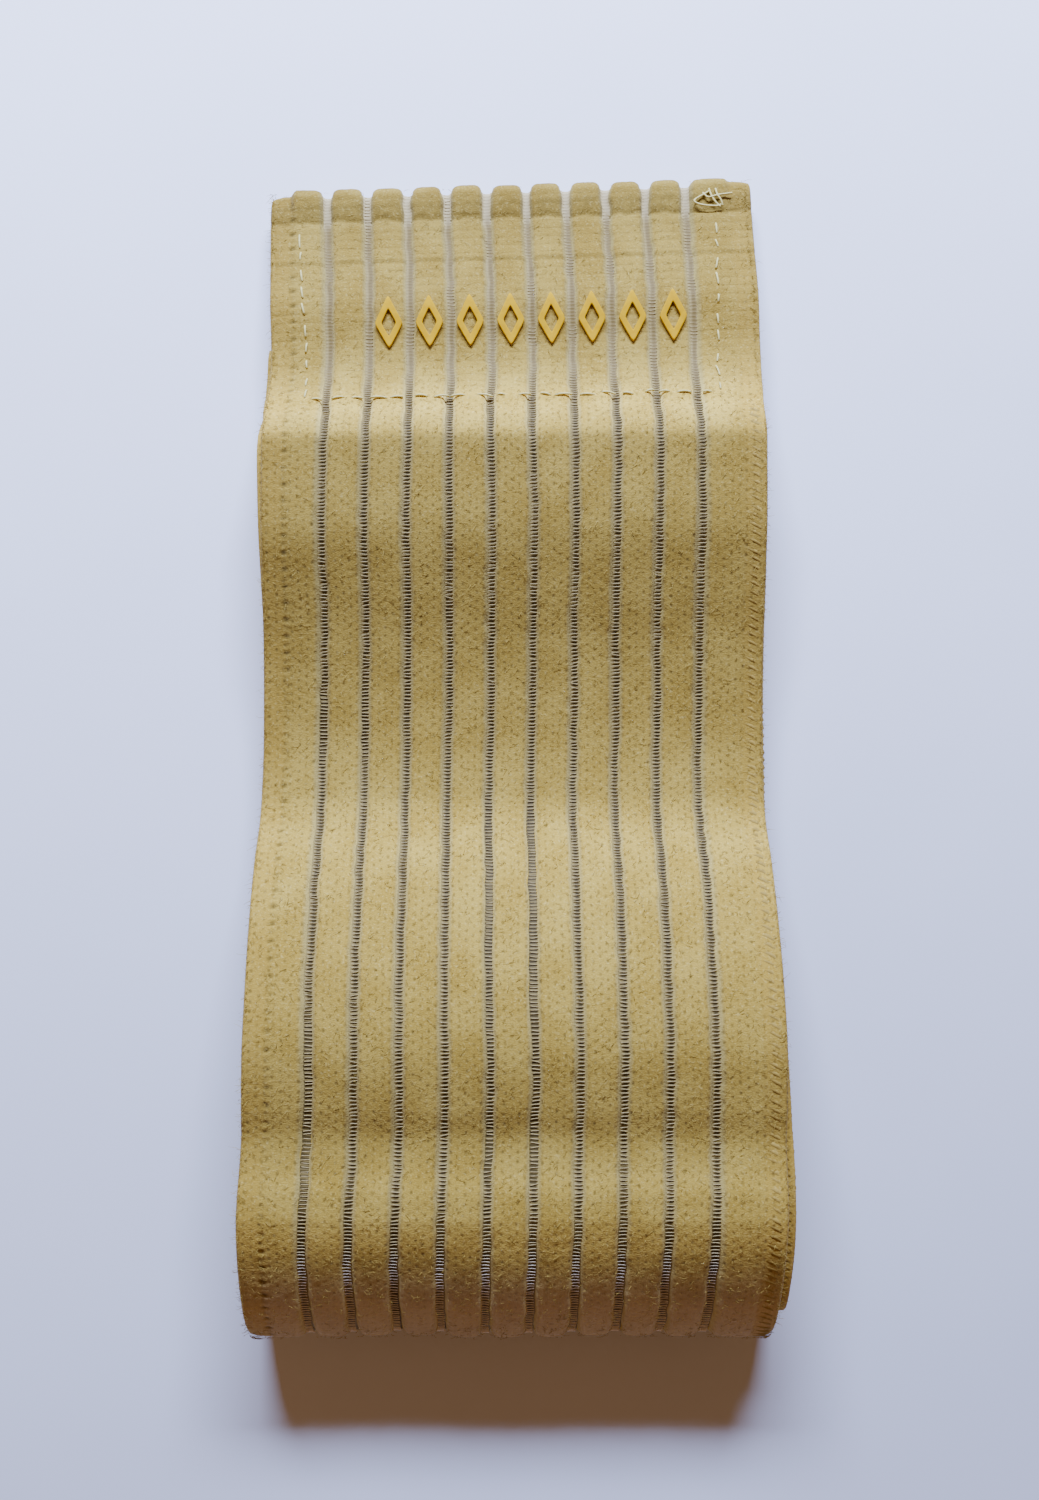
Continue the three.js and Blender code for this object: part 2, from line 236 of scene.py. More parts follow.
class SmoothCurve:
    """A smooth curve through a table's rows that overshoots none of them."""

    def __init__(self, places: Sequence[float], values: Sequence[float]) -> None:
        """Works out the slopes at the rows.

        Args:
            places: The rows' places, rising.
            values: The rows' values.
        """
        self.places = np.array(places, float)
        self.values = np.array(values, float)
        rises = np.diff(self.values) / np.diff(self.places)
        product = rises[:-1] * rises[1:]
        total = np.where(product > 0, rises[:-1] + rises[1:], 1.0)
        inner = np.where(product > 0, 2 * product / total, 0.0)
        self.slopes = np.concatenate([rises[:1], inner, rises[-1:]])

    def __call__(self, x: Array) -> Array:
        """Reads the curve.

        Args:
            x: The places to read it at.

        Returns:
            The curve's value at each of them.
        """
        last = len(self.places) - 2
        i = np.clip(np.searchsorted(self.places, x, side="right") - 1, 0, last)
        span = self.places[i + 1] - self.places[i]
        t = np.clip((x - self.places[i]) / span, 0, 1)
        value = self.values[i] * (1 + 2 * t) * (1 - t) ** 2 + self.values[i + 1] * t * t * (3 - 2 * t)
        bend = self.slopes[i] * t * (1 - t) ** 2 - self.slopes[i + 1] * t * t * (1 - t)
        return value + span * bend


Layer = Callable[[Array], Array]


@dataclass
class BandPath:
    """The band's line through all its layers, seen from the side, and its wander seen from above.

    A place on the band is a distance from its turned end, a place across from its middle and a height
    above its middle, towards its outer face.
    """

    width: float = 80 * MM
    thickness: float = 1.35 * MM
    roll_length: float = 188 * MM
    layer_gap: float = 0.3 * MM
    pocket_height: float = 16.5 * MM
    free_end_height: float = 10.5 * MM
    free_end_blend: float = 3 * MM
    hem_turn: float = 12.5 * MM
    hem_roll: float = 5.6 * MM
    hem_puff: float = 0.35 * MM
    patch_width: float = 69 * MM
    patch_length: float = 34 * MM
    patch_thickness: float = 1.3 * MM
    patch_rise: float = 9 * MM
    step: float = 0.2 * MM
    slope_reach: float = 0.5 * MM
    fold_steps: int = 240

    def __post_init__(self) -> None:
        """Works out the curves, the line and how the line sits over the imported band."""
        along = [row.along for row in TOP_FACE]
        self.bands_at = SmoothCurve(along, [row.bands for row in TOP_FACE])
        self.patches_at = SmoothCurve(along, [row.patches for row in TOP_FACE])
        self.lift_at = SmoothCurve(along, [row.lift for row in TOP_FACE])
        unrolled = [row.unrolled for row in WANDER]
        self.shift_at = SmoothCurve(unrolled, [row.shift for row in WANDER])
        self.turn_at = SmoothCurve(unrolled, [row.turn for row in WANDER])
        self.half = self.roll_length / 2
        self.half_band = self.thickness / 2
        self.layer_pitch = self.thickness + self.layer_gap
        self.patch_pitch = self.patch_thickness + self.layer_gap
        self.line = self.side_line()
        steps = np.linalg.norm(np.diff(self.line, axis=0), axis=1)
        self.distances = np.concatenate([[0.0], np.cumsum(steps)])
        self.length = float(self.distances[-1])
        heading = np.gradient(self.line, self.distances, axis=0)
        self.heading = heading / np.linalg.norm(heading, axis=1, keepdims=True)
        self.hem_edge = float(self.distances[np.argmax(self.line[:, 0])])
        self.offset = np.zeros(3)
        self.offset = self.offset_to_frame()

    def top_layer(self, y: Array) -> Array:
        """Middle height of the outer layer along the top of the roll.

        Args:
            y: Places along the roll.

        Returns:
            The height at each place.
        """
        along = y / self.half
        stack = self.bands_at(along) * self.layer_pitch + self.patches_at(along) * self.patch_pitch
        return stack - self.layer_gap + self.lift_at(along) * self.pocket_height - self.half_band

    def slant(self, layer: Layer, y: Array) -> Array:
        """How much further a sloping layer's neighbour lies below it than a level one's."""
        reach = self.slope_reach
        return np.hypot(1, (layer(y + reach) - layer(y - reach)) / (2 * reach))

    def second_layer(self, y: Array) -> Array:
        """Middle height of the layer under the outer one, below the patch where that is.

        Args:
            y: Places along the roll.

        Returns:
            The height at each place.
        """
        corner = self.patch_width / 2 * math.sin(math.radians(WANDER[0].turn))
        clear = self.half - self.hem_roll - self.patch_length - self.patch_thickness - corner
        under = smoothstep(y, clear - self.patch_rise, clear)
        above = np.minimum(self.top_layer(y), self.top_layer(y + under * corner))
        return above - (self.layer_pitch + under * self.patch_pitch) * self.slant(self.top_layer, y)

    def inner_layer(self, y: Array) -> Array:
        """Middle height of the innermost layer, which levels out at the free end's height.

        Args:
            y: Places along the roll.

        Returns:
            The height at each place.
        """
        against = self.second_layer(y) - self.layer_pitch * self.slant(self.second_layer, y)
        blend = self.free_end_blend
        overlap = np.maximum(0, 1 - np.abs(against - self.free_end_height) / blend)
        return np.minimum(against, self.free_end_height) - overlap * overlap * blend / 4

    def turned_end(self, y: Array) -> Array:
        """Middle height of the end of the band that is turned under at the hem.

        Args:
            y: Places along the roll.

        Returns:
            The height at each place.
        """
        middle = self.half - self.hem_roll / 2
        puff = smoothstep(y, middle - self.hem_roll, middle) * self.hem_puff
        return self.top_layer(y) - (self.layer_pitch + puff) * self.slant(self.top_layer, y)

    def ground_layer(self, y: Array) -> Array:
        """Middle height of the lowest layer."""
        return np.full_like(y, self.half_band)

    def raised_layer(self, y: Array) -> Array:
        """Middle height of the layer on the lowest one."""
        return np.full_like(y, self.half_band + self.layer_pitch)

    def layer_points(self, layer: Layer, start: float, end: float) -> Array:
        """Points of a layer between two places, without its ends.

        Args:
            layer: The layer's height.
            start: Where it starts.
            end: Where it ends.

        Returns:
            Rows of a place along the roll and a height.
        """
        count = max(2, math.ceil(abs(end - start) / self.step))
        y = start + (end - start) * (np.arange(count) + 0.5) / count
        return np.column_stack([y, layer(y)])

    def fold_points(self, start: Array, tip: Array, end: Array, fullness: Sequence[float]) -> Array:
        """Points of a fold in two full quarters.

        Args:
            start: Where the fold leaves its first layer.
            tip: Where it turns back.
            end: Where it meets its second layer.
            fullness: Fullness of its first and second quarter.

        Returns:
            Rows of a place along the roll and a height.
        """
        angle = np.linspace(0, math.pi / 2, self.fold_steps + 1)

        def quarter(corner: Array, power: float) -> Array:
            """Points of one quarter, from the layer to the tip.

            Args:
                corner: Where the layer meets the fold.
                power: How full the quarter is, 2 being round.

            Returns:
                Rows of a place along the roll and a height.
            """
            reach = np.sin(angle) ** (2 / power)
            rise = np.clip(np.cos(angle), 0, 1) ** (2 / power)
            y = corner[0] + (tip[0] - corner[0]) * reach
            return np.column_stack([y, tip[1] + (corner[1] - tip[1]) * rise])

        return np.vstack([quarter(start, fullness[0]), quarter(end, fullness[1])[-2::-1]])

    def roll_fold(self, fold: Fold, upper: Layer, lower: Layer, from_above: bool) -> Array:
        """Points of one of the roll's folds.

        Args:
            fold: The fold's shares.
            upper: The layer above it.
            lower: The layer below it.
            from_above: Whether the band enters it from the upper layer.

        Returns:
            Rows of a place along the roll and a height.
        """
        leaves, returns = fold.leaves * self.half, fold.returns * self.half
        above = np.array([leaves, upper(np.array([leaves]))[0]])
        below = np.array([returns, lower(np.array([returns]))[0]])
        reach = fold.tip * self.half - math.copysign(self.half_band, fold.tip)
        tip = np.array([reach, below[1] + (above[1] - below[1]) * fold.height])
        if from_above:
            return self.fold_points(above, tip, below, (fold.upper, fold.lower))
        return self.fold_points(below, tip, above, (fold.lower, fold.upper))

    def side_line(self) -> Array:
        """The band's middle seen from the side, from its turned end to its free end.

        Returns:
            Rows of a place along the roll and a height.
        """
        half = self.half
        hem = half - self.thickness
        low = np.array([hem, self.turned_end(np.array([hem]))[0]])
        top = np.array([hem, self.top_layer(np.array([hem]))[0]])
        tip = np.array([half - self.half_band, (low[1] + top[1]) / 2])
        return np.vstack([
            self.layer_points(self.turned_end, half - self.hem_turn, hem),
            self.fold_points(low, tip, top, (2, 2)),
            self.layer_points(self.top_layer, hem, OUTER_FOLD.leaves * half),
            self.roll_fold(OUTER_FOLD, self.top_layer, self.ground_layer, True),
            self.layer_points(self.ground_layer, OUTER_FOLD.returns * half, LOOSE_FOLD.returns * half),
            self.roll_fold(LOOSE_FOLD, self.second_layer, self.ground_layer, False),
            self.layer_points(self.second_layer, LOOSE_FOLD.leaves * half, NESTED_FOLD.leaves * half),
            self.roll_fold(NESTED_FOLD, self.second_layer, self.raised_layer, True),
            self.layer_points(self.raised_layer, NESTED_FOLD.returns * half, INNER_FOLD.returns * half),
            self.roll_fold(INNER_FOLD, self.inner_layer, self.raised_layer, False),
            self.layer_points(self.inner_layer, INNER_FOLD.leaves * half, FREE_END * half),
        ])

    def offset_to_frame(self) -> Array:
        """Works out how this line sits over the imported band, from the two boxes' middles.

        Returns:
            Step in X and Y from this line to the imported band.
        """
        edges = np.array([-self.width / 2, self.width / 2])
        own = np.concatenate([
            self.place(self.distances[:, None], edges, height).reshape(-1, 3)
            for height in (-self.half_band, self.half_band)
        ])
        low, high = (np.array(corner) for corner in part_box("elastic_band"))
        step = (low + high) / 2 - (own.min(0) + own.max(0)) / 2
        return np.array([step[0], step[1], 0.0])

    def place(self, distance: Array, across: Array, height: Array) -> Array:
        """Points of the band in the row's frame.

        Args:
            distance: Distances from the turned end.
            across: Places across the band from its middle.
            height: Heights above the band's middle, towards its outer face.

        Returns:
            One point for each, after the three are broadcast together.
        """
        distance, across, height = np.broadcast_arrays(
            *(np.asarray(value, float) for value in (distance, across, height))
        )
        y, z = (np.interp(distance, self.distances, self.line[:, k]) for k in range(2))
        ahead, up = (np.interp(distance, self.distances, self.heading[:, k]) for k in range(2))
        size = np.hypot(ahead, up)
        share = distance / self.length
        turn = np.radians(self.turn_at(share))
        x = self.shift_at(share) * self.width + across * np.cos(turn)
        y = y + across * np.sin(turn) + height * up / size
        z = z - height * ahead / size
        return np.stack([x, y, z], axis=-1) + self.offset


@dataclass
class Shape:
    """Points and faces of one mesh, before it becomes an object.

    faces holds arrays of point numbers, each with one face a row. slots gives the number of the finish
    of each face, array by array. values are numbers at the points, which the finishes read.
    """

    points: Array
    faces: list[Array]
    uv: Array | None = None
    slots: list[Array] | None = None
    values: dict[str, Array] = field(default_factory=dict)

    def to_object(self, name: str, finishes: Sequence[bpy.types.Material]) -> bpy.types.Object:
        """Makes the object and links it into the scene.

        Args:
            name: The piece's name.
            finishes: Its materials, in the order of the slots' numbers.

        Returns:
            The new object.
        """
        mesh = bpy.data.meshes.new(name)
        mesh.vertices.add(len(self.points))
        mesh.vertices.foreach_set("co", self.points.astype(np.float32).ravel())
        corners = np.concatenate([part.ravel() for part in self.faces]).astype(np.int32)
        sizes = np.concatenate([np.full(len(part), part.shape[1]) for part in self.faces])
        starts = np.concatenate([[0], np.cumsum(sizes)[:-1]]).astype(np.int32)
        mesh.loops.add(len(corners))
        mesh.loops.foreach_set("vertex_index", corners)
        mesh.polygons.add(len(sizes))
        mesh.polygons.foreach_set("loop_start", starts)
        if self.slots is not None:
            mesh.polygons.foreach_set("material_index", np.concatenate(self.slots).astype(np.int32))
        mesh.update(calc_edges=True)
        mesh.shade_smooth()
        if self.uv is not None:
            layer = mesh.uv_layers.new(name="knit")
            layer.data.foreach_set("uv", self.uv[corners].astype(np.float32).ravel())
        for label, numbers in self.values.items():
            attribute = mesh.attributes.new(label, "FLOAT", "POINT")
            attribute.data.foreach_set("value", numbers.astype(np.float32).ravel())
        for finish in finishes:
            mesh.materials.append(finish)
        piece = bpy.data.objects.new(name, mesh)
        bpy.context.scene.collection.objects.link(piece)
        return piece


def grid_faces(rows: int, columns: int, closed: bool = False) -> Array:
    """Quads of a grid of points, counted row by row.

    Args:
        rows: Number of rows.
        columns: Number of points in a row.
        closed: Whether each row's last point joins its first.

    Returns:
        One quad a row.
    """
    across = np.arange(columns if closed else columns - 1)
    first = np.arange(rows - 1)[:, None] * columns + across
    second = np.arange(rows - 1)[:, None] * columns + (across + 1) % columns
    quads = np.stack([first, second, second + columns, first + columns], axis=-1)
    return quads.reshape(-1, 4)


def tubes(lines: Array, guide: Array, radius: Array, sides: int) -> Shape:
    """Closed tubes along lines.

    Args:
        lines: Middle lines, as lines by points by 3.
        guide: Direction that no line runs along, one for each point of the lines.
        radius: Radius at each point of a line, or one for all.
        sides: Number of sides.

    Returns:
        All the tubes as one shape.
    """
    count, steps, _ = lines.shape
    run = np.gradient(lines, axis=1)
    run /= np.linalg.norm(run, axis=2, keepdims=True)
    side = np.cross(run, guide)
    side /= np.linalg.norm(side, axis=2, keepdims=True)
    up = np.cross(side, run)
    angle = np.arange(sides) * 2 * math.pi / sides
    thick = np.broadcast_to(np.asarray(radius, float), (count, steps))[..., None, None]
    ring = side[:, :, None] * np.cos(angle)[:, None] + up[:, :, None] * np.sin(angle)[:, None]
    points = lines[:, :, None] + ring * thick
    offsets = (np.arange(count) * steps * sides)[:, None, None]
    walls = (grid_faces(steps, sides, closed=True)[None] + offsets).reshape(-1, 4)
    start = np.arange(sides)[::-1] + offsets[:, 0]
    end = np.arange(sides) + (steps - 1) * sides + offsets[:, 0]
    return Shape(points.reshape(-1, 3), [walls, np.vstack([start, end])])


def joined(shapes: Sequence[Shape]) -> Shape:
    """Joins shapes that have neither uv nor slots.

    Args:
        shapes: The shapes.

    Returns:
        All of them as one.
    """
    starts = np.concatenate([[0], np.cumsum([len(shape.points) for shape in shapes])])
    faces = [part + start for shape, start in zip(shapes, starts) for part in shape.faces]
    return Shape(np.vstack([shape.points for shape in shapes]), faces)


class NodeSheet:
    """Short ways to lay out one material's nodes."""

    def __init__(self, name: str) -> None:
        """Starts a material with its shader.

        Args:
            name: The material's name.
        """
        self.material = bpy.data.materials.new(name)
        self.material.use_nodes = True
        self.tree = self.material.node_tree
        self.shader = self.tree.nodes["Principled BSDF"]

    def node(
        self, kind: str, values: dict[int | str, Value | Colour], **settings: object
    ) -> bpy.types.Node:
        """Adds a node.

        Args:
            kind: The node's type.
            values: What goes into its inputs: numbers, colours or other nodes' outputs.
            settings: Its own settings.

        Returns:
            The new node.
        """
        made = self.tree.nodes.new(kind)
        for label, setting in settings.items():
            setattr(made, label, setting)
        for place, value in values.items():
            self.feed(made.inputs[place], value)
        return made

    def feed(self, socket: bpy.types.NodeSocket, value: Value | Colour) -> None:
        """Sets an input, or links it if the value is another node's output."""
        if isinstance(value, bpy.types.NodeSocket):
            self.tree.links.new(value, socket)
        elif isinstance(value, tuple) and len(socket.default_value) == 4:
            socket.default_value = (*value, 1.0)
        else:
            socket.default_value = value

    def math(self, operation: str, first: Value, second: Value = 0.0) -> bpy.types.NodeSocket:
        """Result of a sum on two numbers."""
        return self.node("ShaderNodeMath", {0: first, 1: second}, operation=operation).outputs[0]

    def times(self, first: Value, second: Value) -> bpy.types.NodeSocket:
        """Product of two numbers."""
        return self.math("MULTIPLY", first, second)

    def plus(self, first: Value, second: Value) -> bpy.types.NodeSocket:
        """Sum of two numbers."""
        return self.math("ADD", first, second)

    def crests(self, turns: Value) -> bpy.types.NodeSocket:
        """Wave with a crest at each whole number, and 0 where it would be below 0."""
        return self.math("MAXIMUM", self.math("COSINE", self.times(turns, math.tau)), 0.0)

    def value(self, label: str) -> bpy.types.NodeSocket:
        """Number that the mesh holds at its points under a label."""
        return self.node("ShaderNodeAttribute", {}, attribute_name=label).outputs["Fac"]

    def noise(self, vector: Value, scale: float, detail: float = 2.0) -> bpy.types.NodeSocket:
        """Smooth noise between 0 and 1 over a vector."""
        made = self.node("ShaderNodeTexNoise", {"Vector": vector, "Scale": scale, "Detail": detail})
        return made.outputs["Fac"]

    def spread(self, value: Value, low: float, high: float, start: float = 0.0, end: float = 1.0) -> Value:
        """Number taken from the range low to high into the range start to end, and held inside it."""
        inputs = {"Value": value, "From Min": low, "From Max": high, "To Min": start, "To Max": end}
        return self.node("ShaderNodeMapRange", inputs, clamp=True).outputs["Result"]

    def mix(self, share: Value, first: Value | Colour, second: Value | Colour) -> bpy.types.NodeSocket:
        """Mixes two colours.

        Args:
            share: Share of the second colour.
            first: The first colour.
            second: The second colour.

        Returns:
            The colour between them.
        """
        made = self.node("ShaderNodeMix", {}, data_type="RGBA")
        self.feed(made.inputs[0], share)
        self.feed(made.inputs[6], first)
        self.feed(made.inputs[7], second)
        return made.outputs[2]

    def scaled(self, colour: Value, factor: Value) -> bpy.types.NodeSocket:
        """Colour times a number."""
        return self.node("ShaderNodeVectorMath", {0: colour, 3: factor}, operation="SCALE").outputs[0]

    def vector(self, x: Value, y: Value, z: Value = 0.0) -> bpy.types.NodeSocket:
        """Vector of three numbers."""
        return self.node("ShaderNodeCombineXYZ", {0: x, 1: y, 2: z}).outputs[0]

    def place(self) -> bpy.types.NodeSocket:
        """Place in the row's frame, in metres."""
        return self.node("ShaderNodeTexCoord", {}).outputs["Object"]

    def knit_place(self) -> tuple[bpy.types.NodeSocket, bpy.types.NodeSocket]:
        """Reads the knit's place from the mesh's uv layer.

        Returns:
            Column and row of the knit, as two numbers.
        """
        uv = self.node("ShaderNodeUVMap", {}, uv_map="knit").outputs[0]
        parts = self.node("ShaderNodeSeparateXYZ", {0: uv}).outputs
        return parts[0], parts[1]

    def finish(self, colour: Value | Colour, roughness: Value, **sockets: Value) -> bpy.types.Material:
        """Feeds the shader and gives the material back.

        Args:
            colour: Base colour.
            roughness: Roughness.
            sockets: Other inputs of the shader, with underscores for the spaces in their names.

        Returns:
            The material.
        """
        self.feed(self.shader.inputs["Base Color"], colour)
        self.feed(self.shader.inputs["Roughness"], roughness)
        for label, value in sockets.items():
            self.feed(self.shader.inputs[label.replace("_", " ")], value)
        return self.material

    def bump(self, height: Value, strength: float, distance: float) -> None:
        """Raises the surface's shading by a height.

        Args:
            height: The height, as a share of the distance.
            strength: How much of it shows.
            distance: What a height of 1 stands for, in metres.
        """
        inputs = {"Height": height, "Strength": strength, "Distance": distance}
        normal = self.node("ShaderNodeBump", inputs).outputs[0]
        self.feed(self.shader.inputs["Normal"], normal)


@dataclass(frozen=True)
class KnitFinish:
    """Matt fuzzy rib knit: beige yarn with painted shade in the pits between its stitches, which give way
    to weft lines where it lies smooth and fade out on the fold. pit: the painted shade colour of the pits,
    dimples and
    hem. edge: the selvedges. turned: a greyer painted shade tint on the fold."""

    light: Colour = (0.385, 0.258, 0.04)
    dark: Colour = (0.27, 0.165, 0.018)
    pit: Colour = (0.1, 0.062, 0.007)
    rim: Colour = (0.36, 0.275, 0.08)
    edge: Colour = (0.33, 0.2, 0.024)
    fleck: Colour = (0.5, 0.37, 0.1)
    turned: Colour = (0.36, 0.27, 0.16)
    sheen: float = 0.07

    def material(self) -> bpy.types.Material:
        """Lays out the finish.

        Returns:
            The finish as a material.
        """
        sheet = NodeSheet("rib_knit")
        column_place, row_place = sheet.knit_place()
        place = sheet.place()
        smooth, shade, rim, edge = (sheet.value(label) for label in ("smooth", "shade", "rim", "edge"))
        # pale: painted light and shade along the band. turned: the fold, which gets a painted shade tint.
        pale, turned = sheet.value("tone"), sheet.value("turned")
        column = sheet.math("FLOOR", column_place)
        row = sheet.plus(row_place, sheet.times(sheet.math("MODULO", column, 2.0), 0.5))
        between = sheet.crests(sheet.plus(column_place, 0.5))
        dot = sheet.times(between, sheet.math("POWER", sheet.crests(row), 0.9))
        stitch = sheet.vector(column, sheet.math("FLOOR", sheet.plus(row, 0.5)))
        chance = sheet.node("ShaderNodeTexWhiteNoise", {"Vector": stitch}).outputs["Value"]
        fades = sheet.spread(sheet.math("MAXIMUM", smooth, turned), 0.0, 1.0, 1.0, 0.3)
        pit = sheet.times(dot, sheet.times(sheet.spread(chance, 0.0, 1.0, 0.45, 1.0), fades))
        line = sheet.math("POWER", sheet.crests(row_place), 5.0)
        patchy = sheet.noise(sheet.vector(column_place, row_place), 0.8, 1.0)
        weft = sheet.times(sheet.times(line, sheet.spread(smooth, 0.0, 1.0, 0.4, 1.0)),
                           sheet.spread(patchy, 0.35, 0.65, 0.1, 1.0))
        mottle = sheet.noise(place, 130.0, 3.0)
        strands = sheet.vector(sheet.times(column_place, 2.5), sheet.times(row_place, 5.0))
        fibre = sheet.noise(strands, 1.6, 3.0)
        broad = sheet.spread(mottle, 0.35, 0.65, -0.2, 0.45)
        worn = sheet.plus(broad, sheet.spread(fibre, 0.3, 0.7, 0.0, 0.75))
        yarn = sheet.mix(worn, self.light, self.dark)
        # On the fold, which lies in shade, the yarn is tinted greyer as painted shade.
        yarn = sheet.mix(sheet.times(turned, 0.6), yarn, self.turned)
        edged = sheet.mix(sheet.times(edge, 0.5), yarn, self.edge)
        rimmed = sheet.mix(rim, edged, self.rim)
        # Painted shade: the pits between the stitches, with the weft lines, and the dimples and hem marks
        # mix towards the pit colour.
        pit_shade_and_weft = sheet.plus(sheet.times(pit, 0.7), sheet.times(weft, 0.3))
        with_painted_shade = sheet.mix(sheet.math("MAXIMUM", pit_shade_and_weft, shade), rimmed, self.pit)
        stray = sheet.noise(place, 2600.0, 3.0)
        # Scaled by the painted light and shade along the band.
        colour = sheet.scaled(sheet.mix(sheet.spread(stray, 0.56, 0.72, 0.0, 0.5), with_painted_shade, self.fleck), pale)
        height = sheet.math("SUBTRACT", sheet.plus(fibre, stray), sheet.times(pit_shade_and_weft, 0.7))
        sheet.bump(height, 0.45, 0.2 * MM)
        return sheet.finish(colour, 0.92, Sheen_Weight=self.sheen, Sheen_Roughness=0.6,
                            Specular_IOR_Level=0.15)


@dataclass(frozen=True)
class WebFinish:
    """Sheer floor of the channels: grey threads with dark gaps between them as painted shade, a plain paler
    strip along one side, nearly white where it turns over the hem, and a greyer painted shade tint on the
    fold."""

    thread: Colour = (0.25, 0.18, 0.055)
    gap: Colour = (0.07, 0.048, 0.013)
    pale: Colour = (0.2, 0.135, 0.038)
    strip: Colour = (0.35, 0.26, 0.085)
    sheer: Colour = (0.66, 0.53, 0.28)
    turned: Colour = (0.3, 0.26, 0.2)
    rungs_per_row: float = 2.55

    def material(self) -> bpy.types.Material:
        """Lays out the finish.

        Returns:
            The finish as a material.
        """
        sheet = NodeSheet("sheer_web")
        column_place, row_place = sheet.knit_place()
        smooth, strip = sheet.value("smooth"), sheet.value("rim")
        turns = sheet.times(row_place, math.tau * self.rungs_per_row)
        rung = sheet.spread(sheet.math("SINE", turns), -0.3, 0.8)
        vary = sheet.noise(sheet.vector(column_place, row_place), 1.3, 2.0)
        # The dark gaps between the rungs are painted shade.
        ladder = sheet.mix(sheet.times(rung, sheet.spread(vary, 0.3, 0.7, 0.4, 1.0)), self.gap, self.thread)
        floor = sheet.mix(sheet.times(smooth, 0.85), ladder, self.pale)
        bordered = sheet.mix(sheet.times(strip, 0.8), floor, self.strip)
        # Greyer painted shade tint on the fold.
        folded = sheet.mix(sheet.times(sheet.value("turned"), 0.25), bordered, self.turned)
        colour = sheet.mix(sheet.value("sheer"), folded, self.sheer)
        sheet.bump(rung, 0.3, 0.12 * MM)
        return sheet.finish(colour, 0.6, Specular_IOR_Level=0.12)


@dataclass(frozen=True)
class ThreadFinish:
    """Twisted or smooth thread in one colour that varies a little along it. turned: its colour where its
    mesh says that it is turned, paler as painted light so that the rungs show in the fold's shade."""

    name: str
    light: Colour
    dark: Colour
    roughness: float = 0.6
    scale: float = 2500.0
    turned: Colour | None = None

    def material(self) -> bpy.types.Material:
        """Lays out the finish.

        Returns:
            The finish as a material.
        """
        sheet = NodeSheet(self.name)
        grain = sheet.noise(sheet.place(), self.scale, 2.0)
        colour = sheet.mix(sheet.spread(grain, 0.3, 0.7), self.light, self.dark)
        if self.turned:
            colour = sheet.mix(sheet.value("turned"), colour, self.turned)
        sheet.bump(grain, 0.4, 0.05 * MM)
        return sheet.finish(colour, self.roughness, Specular_IOR_Level=0.3)


@dataclass(frozen=True)
class PrintFinish:
    """Satin rubbery print with a slightly uneven face."""

    colour: Colour = (0.63, 0.355, 0.0005)
    deep: Colour = (0.53, 0.28, 0.0005)

    def material(self) -> bpy.types.Material:
        """Lays out the finish.

        Returns:
            The finish as a material.
        """
        sheet = NodeSheet("raised_print")
        grain = sheet.noise(sheet.place(), 900.0, 3.0)
        colour = sheet.mix(sheet.spread(grain, 0.35, 0.75), self.colour, self.deep)
        sheet.bump(grain, 0.25, 0.1 * MM)
        return sheet.finish(colour, 0.6, Specular_IOR_Level=0.05)


@dataclass(frozen=True)
class FloorFinish:
    """Plain pale floor with a faint grain, with painted shade that makes it a little darker towards the
    near right, and a painted glow far out by which it fades into the backdrop."""

    colour: Colour = (0.95, 0.955, 0.965)
    shade: Colour = (0.62, 0.63, 0.65)
    far: Colour = (0.52, 0.63, 0.71)
    fades_from: float = 0.3
    fades_to: float = 1.6

    def material(self) -> bpy.types.Material:
        """Lays out the finish.

        Returns:
            The finish as a material.
        """
        sheet = NodeSheet("pale_floor")
        place = sheet.place()
        x, y = sheet.node("ShaderNodeSeparateXYZ", {0: place}).outputs[:2]
        grain = sheet.spread(sheet.noise(place, 25.0, 2.0), 0.3, 0.7, -0.04, 0.04)
        # Painted shade: the floor darkens towards the near right.
        away = sheet.math("SUBTRACT", sheet.times(x, 0.35), y)
        dim = sheet.plus(sheet.spread(away, -0.14, 0.14), grain)
        # Painted glow: far out the floor glows in its far colour and fades into the backdrop.
        distance = sheet.node("ShaderNodeVectorMath", {0: place}, operation="LENGTH").outputs["Value"]
        reach = {"Value": distance, "From Min": self.fades_from, "From Max": self.fades_to}
        fade = sheet.node("ShaderNodeMapRange", reach, interpolation_type="SMOOTHSTEP").outputs["Result"]
        return sheet.finish(sheet.mix(dim, self.colour, self.shade), 0.9, Specular_IOR_Level=0.1,
                            Emission_Color=self.far, Emission_Strength=fade)


@dataclass
class Finishes:
    """All the bandage's materials."""

    knit: bpy.types.Material
    web: bpy.types.Material
    rung: bpy.types.Material
    fuzz: bpy.types.Material
    loop: bpy.types.Material
    seam: bpy.types.Material
    hook: bpy.types.Material
    raised_print: bpy.types.Material

    @classmethod
    def made(cls) -> "Finishes":
        """Makes each material once."""
        return cls(
            knit=KnitFinish().material(),
            web=WebFinish().material(),
            # On the fold the rungs turn paler: painted light.
            rung=ThreadFinish(
                "rung_thread", (0.44, 0.33, 0.13), (0.3, 0.22, 0.08), 0.5, turned=(0.9, 0.78, 0.58)
            ).material(),
            fuzz=ThreadFinish("yarn_fuzz", (0.44, 0.31, 0.06), (0.3, 0.19, 0.03), 0.9).material(),
            loop=ThreadFinish("loop_yarn", (0.37, 0.245, 0.045), (0.3, 0.19, 0.03), 0.9).material(),
            seam=ThreadFinish("seam_thread", (0.7, 0.59, 0.2), (0.56, 0.46, 0.14), 0.6).material(),
            hook=ThreadFinish("hook_tape", (0.55, 0.43, 0.2), (0.45, 0.34, 0.14), 0.55, 700.0).material(),
            raised_print=PrintFinish().material(),
        )


